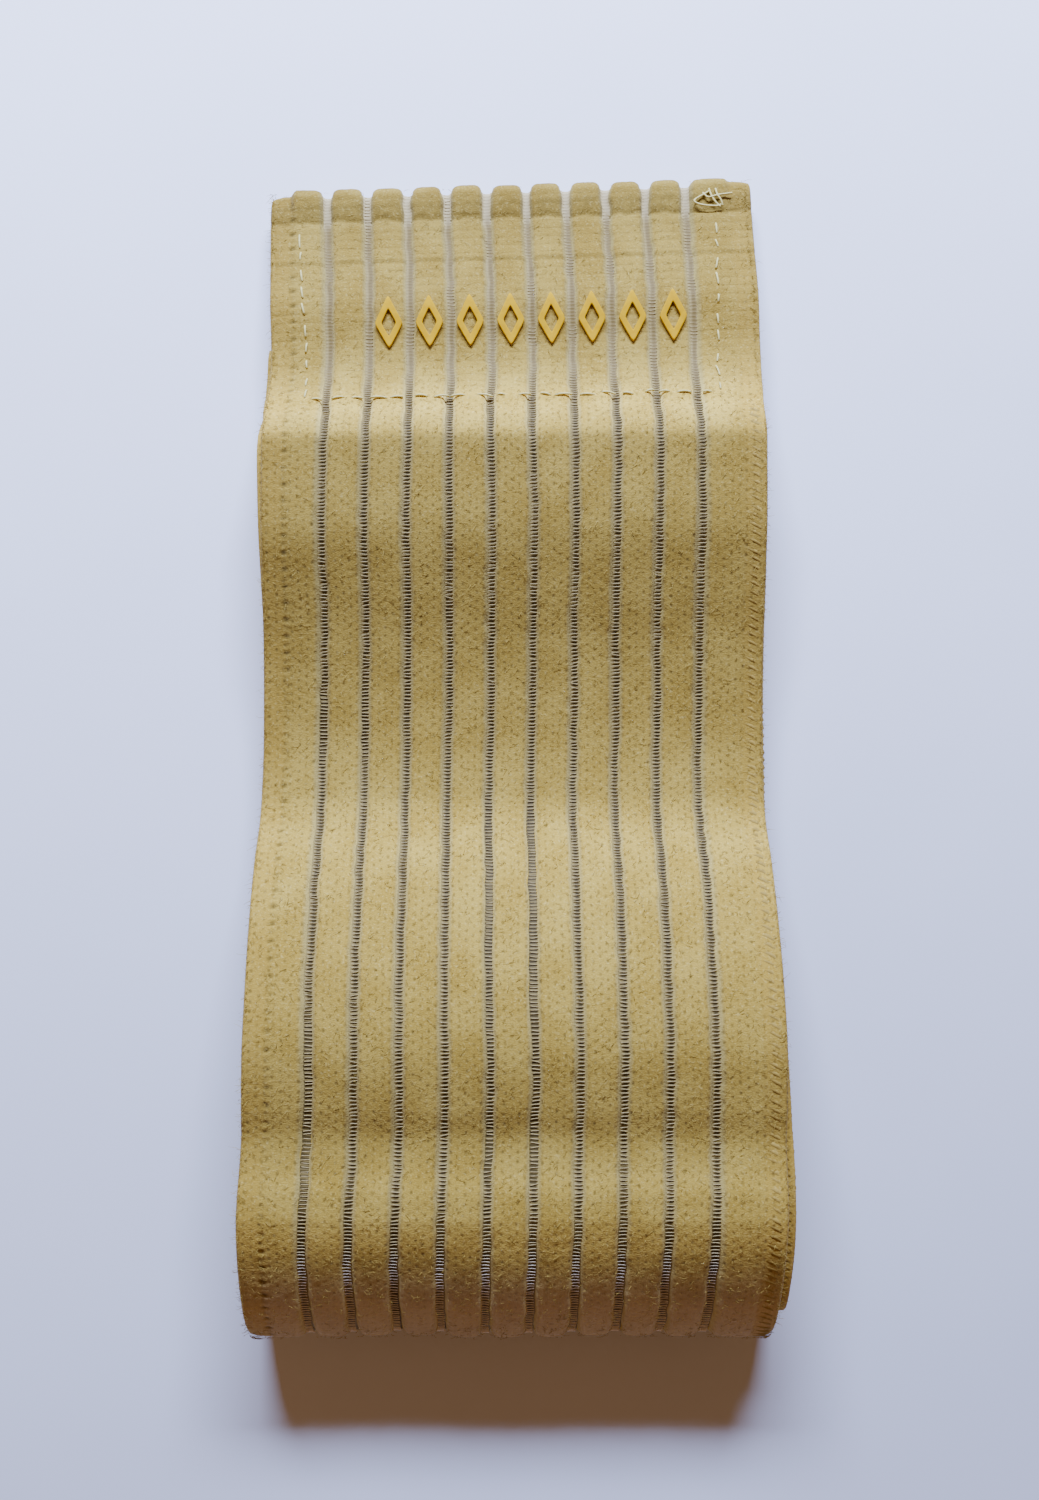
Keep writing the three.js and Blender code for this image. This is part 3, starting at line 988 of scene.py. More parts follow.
@dataclass
class KnitSurface:
    """Where ribs, channels and stitches lie on the band, and how high its outer face is there."""

    path: BandPath
    edge_to_channel: float = 9.2 * MM
    channel_pitch: float = 6.75 * MM
    channel_width: float = 1.3 * MM
    column_width: float = 1.2 * MM
    row_length: float = 1.48 * MM
    samples_a_stitch: int = 4
    web_height: float = -0.4 * MM
    rim_height: float = -0.15 * MM
    selvedge_width: float = 3.3 * MM
    selvedge_drop: float = 0.12 * MM
    dimple_pitch: float = 1.35 * MM
    dimple_reach: float = 0.58 * MM
    dimple_depth: float = 0.22 * MM

    def __post_init__(self) -> None:
        """Works out the channels' middles and the samples across the band."""
        edge = self.path.width / 2
        count = int((self.path.width - 2 * self.edge_to_channel) / self.channel_pitch) + 1
        self.channels = -edge + self.edge_to_channel + self.channel_pitch * np.arange(count)
        half = self.channel_width / 2
        starts = np.concatenate([[-edge], self.channels + half])
        ends = np.concatenate([self.channels - half, [edge]])
        self.ribs = list(zip(starts, ends))

    def samples(self, for_wall: bool) -> dict[str, Array]:
        """Samples across the band's outer face, from its left edge to its right.

        Args:
            for_wall: Whether they are the wall's few samples, or the close ones of the knit.

        Returns:
            For each sample its place across, its place in its rib from -1 to 1, its knit column and
            whether it is on a rib.
        """
        across, within, column, rib = [], [], [], []
        first_column = 0
        for number, (start, end) in enumerate(self.ribs):
            columns = round((end - start) / self.column_width)
            shares = np.linspace(-1, 1, columns * self.samples_a_stitch + 1)
            if for_wall:
                shares = np.array([-1.0, -0.86, 0.0, 0.86, 1.0])
            across += list(start + (end - start) * (shares + 1) / 2)
            within += list(shares)
            column += list(first_column + columns * (shares + 1) / 2)
            rib += [1.0] * len(shares)
            first_column += columns
            if number < len(self.ribs) - 1:
                inner = np.array([0.12, 0.88] if for_wall else [0.2, 0.5, 0.8])
                across += list(end + self.channel_width * inner)
                within += [0.0] * len(inner)
                column += [float(first_column)] * len(inner)
                rib += [0.0] * len(inner)
        names = ("across", "within", "column", "rib")
        return dict(zip(names, (np.array(row) for row in (across, within, column, rib))))

    def base_height(self, across: Array, within: Array, rib: Array) -> Array:
        """Height of the plain outer face: pillow-shaped ribs, channel floors and thinner selvedges.

        Args:
            across: Places across the band.
            within: Places in their ribs, from -1 to 1.
            rib: 1 on a rib and 0 in a channel.

        Returns:
            Heights above the band's middle.
        """
        top = self.path.half_band
        edge = self.path.width / 2
        from_edge = edge - np.abs(across)
        outermost = from_edge < self.edge_to_channel - self.channel_width / 2
        rounding = np.where(outermost & (np.sign(across) == np.sign(within)), 0.0, np.abs(within))
        power = np.where(outermost, 8.0, 4.5)
        pillow = np.clip(1 - rounding ** power, 0, 1) ** 0.5
        face = self.rim_height + (top - self.rim_height) * pillow
        width = self.selvedge_width
        face = face - self.selvedge_drop * (1 - smoothstep(from_edge, width - 0.3 * MM, width + 0.3 * MM))
        return np.where(rib > 0.5, face, self.web_height)

    def stitch_place(self, distance: Array, across: Array, column: Array) -> tuple[Array, Array]:
        """Knit column and row of each place, with the small drift of hand-rolled cloth.

        Args:
            distance: Distances along the band.
            across: Places across it.
            column: The knit columns before the drift.

        Returns:
            The columns and the rows.
        """
        loose = 1 - 0.65 * self.smoothness(distance)
        drift = 0.14 * soft_noise(across, distance, (1.9 * MM, 2.3 * MM), 11)
        bow = 0.2 * soft_noise(across, distance, (7 * MM, 9 * MM), 12)
        bow = bow + 0.13 * soft_noise(across, distance, (1.6 * MM, 1.5 * MM), 13)
        return column + drift * loose, distance / self.row_length + bow * loose

    def smoothness(self, distance: Array) -> Array:
        """1 where the knit lies smooth, on the loose end, and 0 on the roll."""
        return 1 - smoothstep(distance - self.path.hem_edge, 30 * MM, 46 * MM)

    def pits(self, column: Array, row: Array) -> Array:
        """How deep the pits between the stitches are.

        Args:
            column: Knit columns.
            row: Knit rows.

        Returns:
            Depths between 0 and 1.
        """
        stagger = 0.5 * (np.floor(column) % 2)
        between = np.clip(np.cos(2 * math.pi * (column + 0.5)), 0, 1)
        gap = np.clip(np.cos(2 * math.pi * (row + stagger)), 0, 1)
        return between * gap ** 0.9


@dataclass
class ElasticBand:
    """The band itself: its wall through all layers, the knit on its outer face, the threads across
    its channels, its looped right selvedge and its fuzz."""

    path: BandPath
    surface: KnitSurface
    finishes: Finishes
    shown_under: float = 18 * MM
    shown_turned: float = 8 * MM
    sink: float = 0.36 * MM
    tuck: float = 1.6 * MM
    wall_step: float = 1.9 * MM
    rung_pitch: float = 0.58 * MM
    rung_radius: float = 0.075 * MM
    loop_pitch: float = 1.34 * MM
    loop_radius: float = 0.5 * MM
    fibres: int = 14000

    def __post_init__(self) -> None:
        """Works out the stretch of the band whose outer face shows."""
        half = self.path.half
        reach = self.path.distances[np.argmin(self.path.line[:, 0])]
        self.shown_from = self.path.hem_edge - self.shown_turned
        self.shown_to = float(reach) + (half + OUTER_FOLD.returns * half) + self.shown_under
        self.fold_tip = float(reach)
        self.painted_light_curve = SmoothCurve([row.away * MM for row in PAINTED_LIGHT_ROWS], [row.tone for row in PAINTED_LIGHT_ROWS])

    def painted_light_at(self, distance: Array) -> Array:
        """Factor of painted light and shade on the yarn's colour along the band."""
        return self.painted_light_curve(np.asarray(distance, float) - self.path.hem_edge)

    def shown(self, distance: Array) -> Array:
        """1 where the close knit covers the wall, and 0 elsewhere."""
        start = smoothstep(distance, self.shown_from, self.shown_from + self.tuck)
        return start * (1 - smoothstep(distance, self.shown_to - self.tuck, self.shown_to))

    def hem_relief(self, distance: Array, across: Array) -> Array:
        """Extra height at the hem: its puffed roll, the groove below it and the turned end's step.

        Args:
            distance: Distances along the band.
            across: Places across it.

        Returns:
            Heights to add to the outer face.
        """
        rib = np.floor((across - self.surface.channels[0]) / self.surface.channel_pitch)
        away = distance - self.path.hem_edge
        roll = self.path.hem_roll
        width = self.surface.selvedge_width
        inside = smoothstep(self.path.width / 2 - np.abs(across), width - 0.5 * MM, width + 0.7 * MM)
        left = across < 0
        full = 0.55 * MM + 0.12 * MM * soft_noise(rib, np.zeros_like(rib), (0.37, 1.0), 21)
        swell = smoothstep(away, -2.5 * MM, 1.2 * MM) * (1 - smoothstep(away, 0.6 * MM, roll + 0.4 * MM))
        scallop = 0.3 * MM * soft_noise(across, np.zeros_like(across), (1.1 * MM, 1.0), 22)
        groove = -0.35 * MM * hump(away, roll + 0.3 * MM + scallop, 0.42 * MM)
        turned = self.path.hem_turn + 1.2 * MM
        step = -0.14 * MM * smoothstep(away, turned - 0.4 * MM, turned + 0.3 * MM)
        inside = np.where(left, inside, 0.45 + 0.55 * inside)
        held_in = -0.3 * MM * (1 - inside) * (1 - smoothstep(away, 1.5 * MM, roll))
        return full * swell * inside + groove + step + held_in

    def wave(self, distance: Array, across: Array) -> Array:
        """Slow unevenness of the top face, which dies out on the loose end and under the roll.

        Args:
            distance: Distances along the band.
            across: Places across it.

        Returns:
            Heights to add to the outer face.
        """
        away = distance - self.path.hem_edge
        on_roll = smoothstep(away, 38 * MM, 60 * MM)
        lift = smoothstep(np.interp(distance, self.path.distances, self.path.line[:, 1]), 2 * MM, 8 * MM)
        slow = soft_noise(across, distance, (17 * MM, 26 * MM), 31)
        quick = soft_noise(across, distance, (6 * MM, 8 * MM), 32)
        return (0.25 * MM * slow + 0.1 * MM * quick) * (0.35 + 0.65 * on_roll) * lift

    def narrowed(self, distance: Array, across: Array, within: Array, rib: Array) -> Array:
        """Places across the band, with each rib drawn in where it turns over the hem, the hem's left
        corner rounded, the loose end a little wider on the right, and the channels' small zigzag.

        Args:
            distance: Distances along the band.
            across: Places across it.
            within: Places in their ribs, from -1 to 1.
            rib: 1 on a rib and 0 in a channel.

        Returns:
            The moved places.
        """
        away = distance - self.path.hem_edge
        at_hem = hump(away, 0.0, 1.3 * MM)
        draw = -0.25 * MM * at_hem * within ** 5 * rib
        edge = self.path.width / 2
        corner = hump(away, -0.4 * MM, 1.1 * MM) * smoothstep(-across, edge - 2.5 * MM, edge)
        widened = self.surface.smoothness(distance) * smoothstep(across, edge - 8 * MM, edge)
        draw = draw + 0.9 * MM * corner + 0.6 * MM * widened
        inside = smoothstep(edge - np.abs(across), 0, 6 * MM)
        zigzag = 0.15 * MM * soft_noise(across, distance, (2.2 * MM, 1.9 * MM), 41)
        bend = 0.22 * MM * soft_noise(across, distance, (20 * MM, 15 * MM), 42)
        return across + draw + (zigzag + bend) * inside

    def wall(self) -> Shape:
        """Closed wall of the band through all its layers, sunk a little where the knit covers it.

        Returns:
            The wall.
        """
        count = int(self.path.length / self.wall_step)
        distance = np.linspace(0, self.path.length, count)[:, None]
        row = self.surface.samples(for_wall=True)
        across, within, rib = row["across"], row["within"], row["rib"]
        relief = np.minimum(self.hem_relief(distance, across), 0)
        outer = self.surface.base_height(across, within, rib) - self.sink * self.shown(distance)
        outer = np.maximum(outer + rib * relief, 0.15 * MM - self.path.half_band)
        inner = np.full_like(outer, -self.path.half_band)
        inner[:, [0, -1]] = 0.0
        inner[:, [1, -2]] = -self.path.half_band * 0.9
        moved = self.narrowed(distance, across[None], within[None], rib[None])
        columns = np.concatenate([row["column"], row["column"][::-1]])
        both = np.hstack([moved, moved[:, ::-1]])
        points = self.path.place(distance, both, np.hstack([outer, inner[:, ::-1]]))
        size = both.shape[1]
        half = size // 2
        left = np.arange(half - 1)
        start = np.column_stack([left + 1, left, size - 1 - left, size - 2 - left])
        end = start[:, ::-1] + (count - 1) * size
        column, stitch_row = self.surface.stitch_place(distance, both, np.broadcast_to(columns, both.shape))
        sides = grid_faces(count, size, closed=True)
        ring_slots = np.concatenate([self.web_slots(rib), np.zeros(size - half + 1, int)])
        flat = np.zeros_like(both)
        return Shape(
            points.reshape(-1, 3),
            [sides[:, ::-1], start[:, ::-1], end[:, ::-1]],
            uv=np.column_stack([column.ravel(), stitch_row.ravel()]),
            slots=[np.tile(ring_slots, count - 1), np.zeros(len(start), int), np.zeros(len(end), int)],
            values={
                "smooth": flat + self.surface.smoothness(distance),
                "shade": flat,
                "rim": flat,
                "edge": self.on_selvedge(both),
                "sheer": flat,
                "tone": flat + self.painted_light_at(distance),
                "turned": flat,
            },
        )

    def on_selvedge(self, across: Array) -> Array:
        """1 on both selvedges and 0 between them."""
        from_edge = self.path.width / 2 - np.abs(across)
        return 1 - smoothstep(from_edge, 2.7 * MM, 3.5 * MM)

    def strip_side(self, distance: Array) -> Array:
        """1 where the plain strip lies left of the rungs, and -1 where it lies right of them."""
        return 1 - 2 * smoothstep(distance, self.shown_from + 175 * MM, self.shown_from + 195 * MM)

    def strip(self, distance: Array, across: Array, rib: Array) -> Array:
        """Where the plain strip beside the rungs lies: left of them on the roll's top, right on its fold.

        Args:
            distance: Distances along the band.
            across: Places across it.
            rib: 1 on a rib and 0 in a channel.

        Returns:
            1 on the strip and 0 elsewhere.
        """
        nearest = np.abs(across[..., None] - self.surface.channels).argmin(-1)
        cross = (across - self.surface.channels[nearest]) / (self.surface.channel_width / 2)
        side = self.strip_side(distance) + 0.3 * soft_noise(nearest, distance, (0.37, 13 * MM), 43)
        return smoothstep(-cross * side, 0.25, 0.6) * (1 - rib)

    @staticmethod
    def web_slots(rib: Array) -> Array:
        """Number of the finish between each two samples: 1 on a channel's floor and 0 on a rib."""
        return ((rib[:-1] < 0.5) | (rib[1:] < 0.5)).astype(int)

    def dimples(self, away: Array, across: Array) -> Array:
        """Row of dimples along the left selvedge, every second one faint.

        Args:
            away: Distances from the hem's edge.
            across: Places across the band.

        Returns:
            How deep the dimples are, from 0 to 1.
        """
        turns = away / self.surface.dimple_pitch
        row = np.clip(np.cos(2 * math.pi * turns), 0, 1) ** 0.35
        row = row * (0.68 + 0.32 * np.cos(math.pi * np.round(turns)))
        uneven = soft_noise(away, np.zeros_like(away), (1.9 * MM, 1.0), 23)
        row = row * np.clip(1.05 + 0.25 * uneven, 0, 1)
        line = self.surface.selvedge_width - self.path.width / 2
        return row * hump(across, line, self.surface.dimple_reach)

    def hem_shade(self, distance: Array, across: Array, fine: Array) -> Array:
        """Dark places of the hem: under its roll, in the groove below that, and at the turned end's step.

        Args:
            distance: Distances along the band.
            across: Places across it.
            fine: Fine unevenness, from -1 to 1.

        Returns:
            How dark each place is, from 0 to 1.
        """
        away = distance - self.path.hem_edge
        groove = hump(away, self.path.hem_roll + 0.2 * MM, 0.45 * MM)
        step_line = hump(away, self.path.hem_turn + 1.2 * MM, 0.4 * MM) * (0.3 + 0.25 * fine)
        ragged = away + 0.5 * MM * soft_noise(across, distance, (0.9 * MM, 0.9 * MM), 53)
        under_roll = smoothstep(ragged, 1.9 * MM, 3.6 * MM) * (1 - smoothstep(away, 5.3 * MM, 6 * MM))
        under_roll = under_roll * (0.4 + 0.16 * fine)
        return np.maximum(0.42 * groove, np.maximum(step_line, under_roll))

    def knit(self, start: float, end: float) -> Shape:
        """Close knit on the outer face, from one distance to another.

        Args:
            start: Where it starts.
            end: Where it ends.

        Returns:
            The knitted face, wrapped round both selvedges.
        """
        step = self.surface.row_length / self.surface.samples_a_stitch
        distance = np.linspace(start, end, int((end - start) / step) + 1)[:, None]
        row = self.surface.samples(for_wall=False)
        across, within, rib = (row[name][None] for name in ("across", "within", "rib"))
        column, stitch_row = self.surface.stitch_place(distance, across, row["column"][None])
        smooth = self.surface.smoothness(distance)
        pit = self.surface.pits(column, stitch_row) * rib
        away = distance - self.path.hem_edge
        edge = self.path.width / 2
        dimple = self.dimples(away, across)
        fine = soft_noise(across, distance, (0.45 * MM, 0.5 * MM), 51)
        deep = 0.7 + 0.5 * soft_noise(across, distance, (1.2 * MM, 1.2 * MM), 52)
        lines = np.cos(2 * math.pi * stitch_row) * smooth * 0.02 * MM
        turned = hump(away, 0, 1.8 * MM) + hump(distance, self.fold_tip, 5 * MM)
        height = (
            self.surface.base_height(across, within, rib)
            + self.wave(distance, across)
            + rib * (0.03 * MM * fine - (0.07 - 0.05 * smooth) * MM * pit * deep - lines)
            - rib * 0.4 * MM * turned * np.abs(within) ** 4
            + rib * self.hem_relief(distance, across)
            - self.surface.dimple_depth * dimple
            + (1 - rib) * 0.15 * MM * smooth
            - 1.2 * self.sink * (1 - self.shown(distance))
        )
        moved = self.narrowed(distance, across, within, rib)
        # Painted shade in the left selvedge's dimples, under the hem's roll, in its groove and at the
        # turned end's step.
        shade = np.maximum(dimple, self.hem_shade(distance, across, fine)) * rib
        near_channel = np.abs(across) < edge - self.surface.edge_to_channel / 2
        rim = smoothstep(np.abs(within), 0.8, 0.98) * rib * near_channel * 0.8
        rim = rim + self.strip(distance, across, rib)
        sheer = 0.95 - 0.55 * smoothstep(away, -0.5 * MM, 3.5 * MM) - 0.4 * smoothstep(away, 4 * MM, 8 * MM)
        # The fold lies in shade: the finishes tint the knit and web there as painted shade, the rungs as
        # painted light.
        on_fold = smoothstep(away, 179 * MM, 190 * MM)
        wrap = np.radians([70, 45, 20, -10, -45, -90])
        reach, drop = 0.45 * MM, 0.55 * MM
        left = (moved[:, :1] - reach * np.cos(wrap), height[:, :1] + drop * (np.sin(wrap) - 1))
        right = (moved[:, -1:] + reach * np.cos(wrap), height[:, -1:] + drop * (np.sin(wrap) - 1))
        pad = len(wrap)

        def widened(values: Array) -> Array:
            """Values at the samples, repeated on the wrapped edges."""
            full = np.broadcast_to(values, moved.shape)
            return np.hstack([np.repeat(full[:, :1], pad, 1), full, np.repeat(full[:, -1:], pad, 1)])

        places = np.hstack([left[0][:, ::-1], moved, right[0]])
        heights = np.hstack([left[1][:, ::-1], height, right[1]])
        points = self.path.place(distance, places, heights)
        points[..., 2] = np.maximum(points[..., 2], 0.02 * MM)
        rows, columns = places.shape
        slots = self.web_slots(np.concatenate([np.ones(pad), row["rib"], np.ones(pad)]))
        drift = np.arange(pad) * 0.2
        column = widened(column)
        column[:, :pad] -= drift[::-1] + 0.2
        column[:, -pad:] += drift + 0.2
        return Shape(
            points.reshape(-1, 3),
            [grid_faces(rows, columns)[:, ::-1]],
            uv=np.column_stack([column.ravel(), widened(stitch_row).ravel()]),
            slots=[np.tile(slots, rows - 1)],
            values={
                "smooth": widened(smooth),
                "shade": widened(shade),
                "rim": widened(rim),
                "edge": widened(self.on_selvedge(across)),
                "sheer": widened(sheer),
                "tone": widened(self.painted_light_at(distance)),
                "turned": widened(on_fold),
            },
        )

    def rungs(self) -> Shape:
        """Threads that cross the channels like the rungs of a ladder.

        Returns:
            All the rungs.
        """
        rng = np.random.default_rng(61)
        distance = np.arange(self.shown_from + self.tuck, self.shown_to - self.tuck, self.rung_pitch)
        shares = np.array([-1.0, -0.45, 0.45, 1.0])
        middles = np.repeat(self.surface.channels, len(distance))
        places = np.tile(distance, len(self.surface.channels))
        places = places + rng.normal(0, 0.04 * MM, len(places))
        tilt = rng.normal(0, 0.05 * MM, len(places))
        side = self.strip_side(places)
        reach = self.surface.channel_width / 2
        across = middles[:, None] + shares * (reach - 0.05 * MM) + side[:, None] * 0.15 * MM
        along = places[:, None] + tilt[:, None] * shares
        smooth = self.surface.smoothness(along)
        patchy = 0.5 + 0.5 * soft_noise(across, along, (5 * MM, 4 * MM), 62)
        rest = self.surface.web_height + 0.13 * MM - 0.1 * MM * smooth * (1 - smoothstep(patchy, 0.45, 0.9))
        height = rest + 0.1 * MM * np.abs(shares) + self.wave(along, across)
        flat = np.zeros_like(across)
        moved = self.narrowed(along, across, flat, flat)
        lines = self.path.place(along, moved, height)
        ahead = self.path.place(along + 0.2 * MM, moved, height) - lines
        shape = tubes(lines, ahead, self.rung_radius, 4)
        # On the fold the rungs turn paler, painted light that keeps them showing in the shade.
        on_fold = smoothstep(along - self.path.hem_edge, 177 * MM, 186 * MM)
        shape.values["turned"] = np.repeat(on_fold.ravel(), 4)
        return shape

    def loops(self) -> Shape:
        """Yarn loops that lean over the right selvedge, along the whole band.

        Returns:
            All the loops.
        """
        rng = np.random.default_rng(71)
        distance = np.arange(self.loop_pitch, self.path.length - 2 * self.loop_pitch, self.loop_pitch)
        distance = distance + rng.normal(0, 0.12 * MM, len(distance))
        edge = self.path.width / 2
        inward = np.array([3.2, 2.4, 1.4, 0.6, 0.25, 0.35, 0.9]) * MM
        lean = np.array([0.0, 0.2, 0.55, 0.9, 1.15, 1.3, 1.35]) * self.loop_pitch
        rise = np.array([-0.22, 0.0, 0.04, -0.02, -0.15, -0.3, -0.4]) * MM
        reach = rng.normal(1.0, 0.05, (len(distance), 1))
        across = edge - inward * reach
        along = distance[:, None] + lean
        smooth = self.surface.smoothness(along)
        across = across + smooth * 0.35 * MM
        height = rise + self.wave(along, across) * self.shown(along) - 0.22 * MM * smooth
        lines = self.path.place(along, across, height)
        swell = self.loop_radius * np.array([0.55, 0.9, 1.0, 1.0, 0.98, 0.9, 0.6])
        lines[..., 2] = np.maximum(lines[..., 2], swell)
        outwards = self.path.place(along, across, height + 0.2 * MM) - lines
        return tubes(lines, outwards + 0.3 * np.gradient(lines, axis=1)[:, :, [1, 2, 0]], swell, 5)

    def fuzz(self) -> Shape:
        """Fine loose fibres that stand off the knit's outer face and its edges.

        Returns:
            All the fibres.
        """
        rng = np.random.default_rng(81)
        count = self.fibres
        edge = self.path.width / 2
        across = rng.uniform(-edge, edge, count)
        at_edge = rng.random(count) < 0.12
        across = np.where(at_edge, np.sign(across) * edge, across)
        from_channel = np.abs(across[:, None] - self.surface.channels).min(1)
        across = across[from_channel > self.surface.channel_width * 0.45]
        count = len(across)
        distance = rng.uniform(self.shown_from + self.tuck, self.shown_to - self.tuck, count)
        lean = rng.normal(0, 0.55 * MM, (2, count, 1))
        past_edge = rng.uniform(0.1, 0.5, count) * MM
        past_edge = past_edge - 1.8 * MM * smoothstep(distance, self.fold_tip - 7 * MM, self.fold_tip)
        outward = np.where(np.abs(across) > edge - MM, np.sign(across) * past_edge, 0)
        stand = rng.uniform(0.05, 0.3, (count, 1)) * MM
        share = np.linspace(0, 1, 3)
        curl = rng.normal(0, 0.2 * MM, (count, 1)) * np.sin(share * math.pi)
        places = across[:, None] + (lean[0] + outward[:, None]) * share + curl
        along = distance[:, None] + lean[1] * share - curl
        top = self.path.half_band - 0.08 * MM + self.wave(distance, across)[:, None]
        height = top + stand * np.sin(share * 2.4)
        lines = self.path.place(along, places, height)
        outwards = self.path.place(along, places, height + 0.2 * MM) - lines
        lines[..., 2] = np.maximum(lines[..., 2], 0.05 * MM)
        return tubes(lines, outwards, np.array([0.032, 0.028, 0.012]) * MM, 3)

    def build(self) -> list[bpy.types.Object]:
        """Makes the band's pieces.

        Returns:
            The wall first, then what lies on it.
        """
        knit, web = self.finishes.knit, self.finishes.web
        wall = self.wall().to_object("band_wall", (knit, web))
        cuts = np.linspace(self.shown_from, self.shown_to, 4)
        names = ("knit_loose_end", "knit_roll_top", "knit_outer_fold")
        pieces = [wall]
        for name, start, end in zip(names, cuts[:-1], cuts[1:]):
            pieces.append(self.knit(start, end).to_object(name, (knit, web)))
        pieces.append(self.rungs().to_object("channel_rungs", (self.finishes.rung,)))
        pieces.append(self.loops().to_object("selvedge_loops", (self.finishes.loop,)))
        pieces.append(self.fuzz().to_object("yarn_fuzz", (self.finishes.fuzz,)))
        for piece in pieces:
            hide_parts("elastic_band")
        return pieces


@dataclass
class LooseEnd:
    """What is sewn and printed on the loose end: the seam that holds the hook patch, its knot and the
    row of raised marks."""

    path: BandPath
    surface: KnitSurface
    band: ElasticBand
    finishes: Finishes
    dash_pitch: float = 3.4 * MM
    dash_length: float = 2.1 * MM
    dash_radius: float = 0.18 * MM
    seam_start: float = 7.9 * MM
    seam_end: float = 40.2 * MM
    seam_left: tuple[float, float] = (-35.5 * MM, -34.0 * MM)
    seam_right: tuple[float, float] = (34.8 * MM, 33.4 * MM)
    mark_height: float = 9 * MM
    mark_width: float = 4.7 * MM
    mark_stroke: float = 1.0 * MM
    mark_thickness: float = 0.45 * MM
    mark_from_end: float = 25 * MM

    def on_face(self, away: Array, across: Array, height: Array) -> Array:
        """Points above the loose end's outer face.

        Args:
            away: Distances from the hem's edge.
            across: Places across the band.
            height: Heights above the face.

        Returns:
            One point for each.
        """
        distance = self.path.hem_edge + np.asarray(away, float)
        lift = self.band.wave(distance, across) + self.path.half_band
        return self.path.place(distance, across, height + lift)

    def seam(self) -> Shape:
        """Running stitches along the patch's left, lower and right edges.

        Returns:
            All the stitches.
        """
        rng = np.random.default_rng(91)
        corners = [
            (self.seam_start, self.seam_left[0]),
            (self.seam_end, self.seam_left[1]),
            (self.seam_end, self.seam_right[1]),
            (self.seam_start, self.seam_right[0]),
        ]
        starts, ends = [], []
        for (away_a, across_a), (away_b, across_b) in zip(corners[:-1], corners[1:]):
            side = np.array([away_b - away_a, across_b - across_a])
            length = float(np.hypot(*side))
            count = round(length / self.dash_pitch)
            for number in range(count):
                middle = (number + 0.5 + rng.normal(0, 0.1)) / count
                reach = self.dash_length * rng.uniform(0.7, 1.2) / 2 / length
                starts.append(np.array([away_a, across_a]) + side * (middle - reach))
                ends.append(np.array([away_a, across_a]) + side * (middle + reach))
        share = np.linspace(0, 1, 7)[:, None]
        first, last = np.array(starts)[:, None], np.array(ends)[:, None]
        line = first + (last - first) * share + rng.normal(0, 0.1 * MM, (len(starts), 1, 2))
        line = line + rng.normal(0, 0.22 * MM, (len(starts), 1, 2)) * (share - 0.5)
        bed = rng.uniform(-0.1, 0.05, (len(starts), 1)) * MM
        height = bed - 0.2 * MM + 0.3 * MM * np.sin(share[:, 0] * math.pi) ** 0.6
        lines = self.on_face(line[..., 0], line[..., 1], height)
        guide = self.on_face(line[..., 0], line[..., 1], height + 0.2 * MM) - lines
        return tubes(lines, guide, self.dash_radius, 6)

    def knot(self) -> Shape:
        """Thread knot on the hem: a pointed loop, two windings across it and a tail.

        Returns:
            The knot.
        """
        away, across = 4.2 * MM, 33.6 * MM
        strands = (
            ((0.4, 1.6), (-0.7, 0.9), (-2.4, -0.3), (-1.0, -1.1), (1.2, -1.35), (2.3, -1.0)),
            ((0.2, 1.9), (0.5, 0.7), (1.1, -0.5), (2.0, -1.5)),
            ((-0.9, 1.2), (0.1, 0.2), (1.6, 0.6), (4.1, 1.0)),
            ((1.3, 1.9), (1.5, 0.7), (2.1, -0.4), (2.4, -1.3)),
        )
        share = np.linspace(0, 1, 22)
        shapes = []
        for layer, strand in enumerate(strands):
            places = np.linspace(0, 1, len(strand))
            aside = SmoothCurve(places, [turn[0] * MM for turn in strand])(share)
            up = SmoothCurve(places, [turn[1] * MM for turn in strand])(share)
            height = 0.55 * MM + (0.1 + 0.08 * layer) * MM * np.sin(share * math.pi)
            line = self.on_face(away - up, across + aside, height)[None]
            guide = np.broadcast_to(np.array([0.1, 0.15, 1.0]), line.shape)
            shapes.append(tubes(line, guide, 0.17 * MM, 6))
        return joined(shapes)

    def mark(self, place: float) -> Shape:
        """One raised mark: a hollow diamond with soft edges, laid on the middle of a rib.

        Args:
            place: The rib's middle, across the band.

        Returns:
            The mark.
        """
        turn = np.linspace(0, 2 * math.pi, 49)[:-1]
        corner = 1 / (np.abs(np.cos(turn)) + np.abs(np.sin(turn)))
        round_off = np.minimum(corner, 0.955)
        half_width, half_height = self.mark_width / 2, self.mark_height / 2
        inset = self.mark_stroke * math.hypot(1, self.mark_width / self.mark_height) / half_width
        outer = ((1, -0.3), (1, 0.82), (0.94, 0.98), (0.8, 1))
        rings = []
        for out, up in outer + tuple((1 - out, up) for out, up in reversed(outer)):
            scale = round_off * (1 - inset * (1 - out))
            away = self.mark_from_end - half_height * scale * np.sin(turn)
            across = place + half_width * scale * np.cos(turn)
            rings.append(self.on_face(away, across, self.mark_thickness * up))
        points = np.stack(rings, axis=1)
        count, size = points.shape[:2]
        faces = grid_faces(count + 1, size, closed=True) % (count * size)
        return Shape(points.reshape(-1, 3), [faces])

    def build(self) -> list[bpy.types.Object]:
        """Makes the seam, the knot and the marks.

        Returns:
            The seam and the knot first, then the marks.
        """
        seam = self.seam().to_object("patch_seam", (self.finishes.seam,))
        knot = self.knot().to_object("seam_knot", (self.finishes.seam,))
        pieces = [seam, knot]
        for number, place in enumerate(self.surface.channels[1:-1], 1):
            middle = place + self.surface.channel_pitch / 2
            piece = self.mark(middle).to_object(f"raised_mark_{number}", (self.finishes.raised_print,))
            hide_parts(f"print_mark_{number}")
            pieces.append(piece)
        return pieces


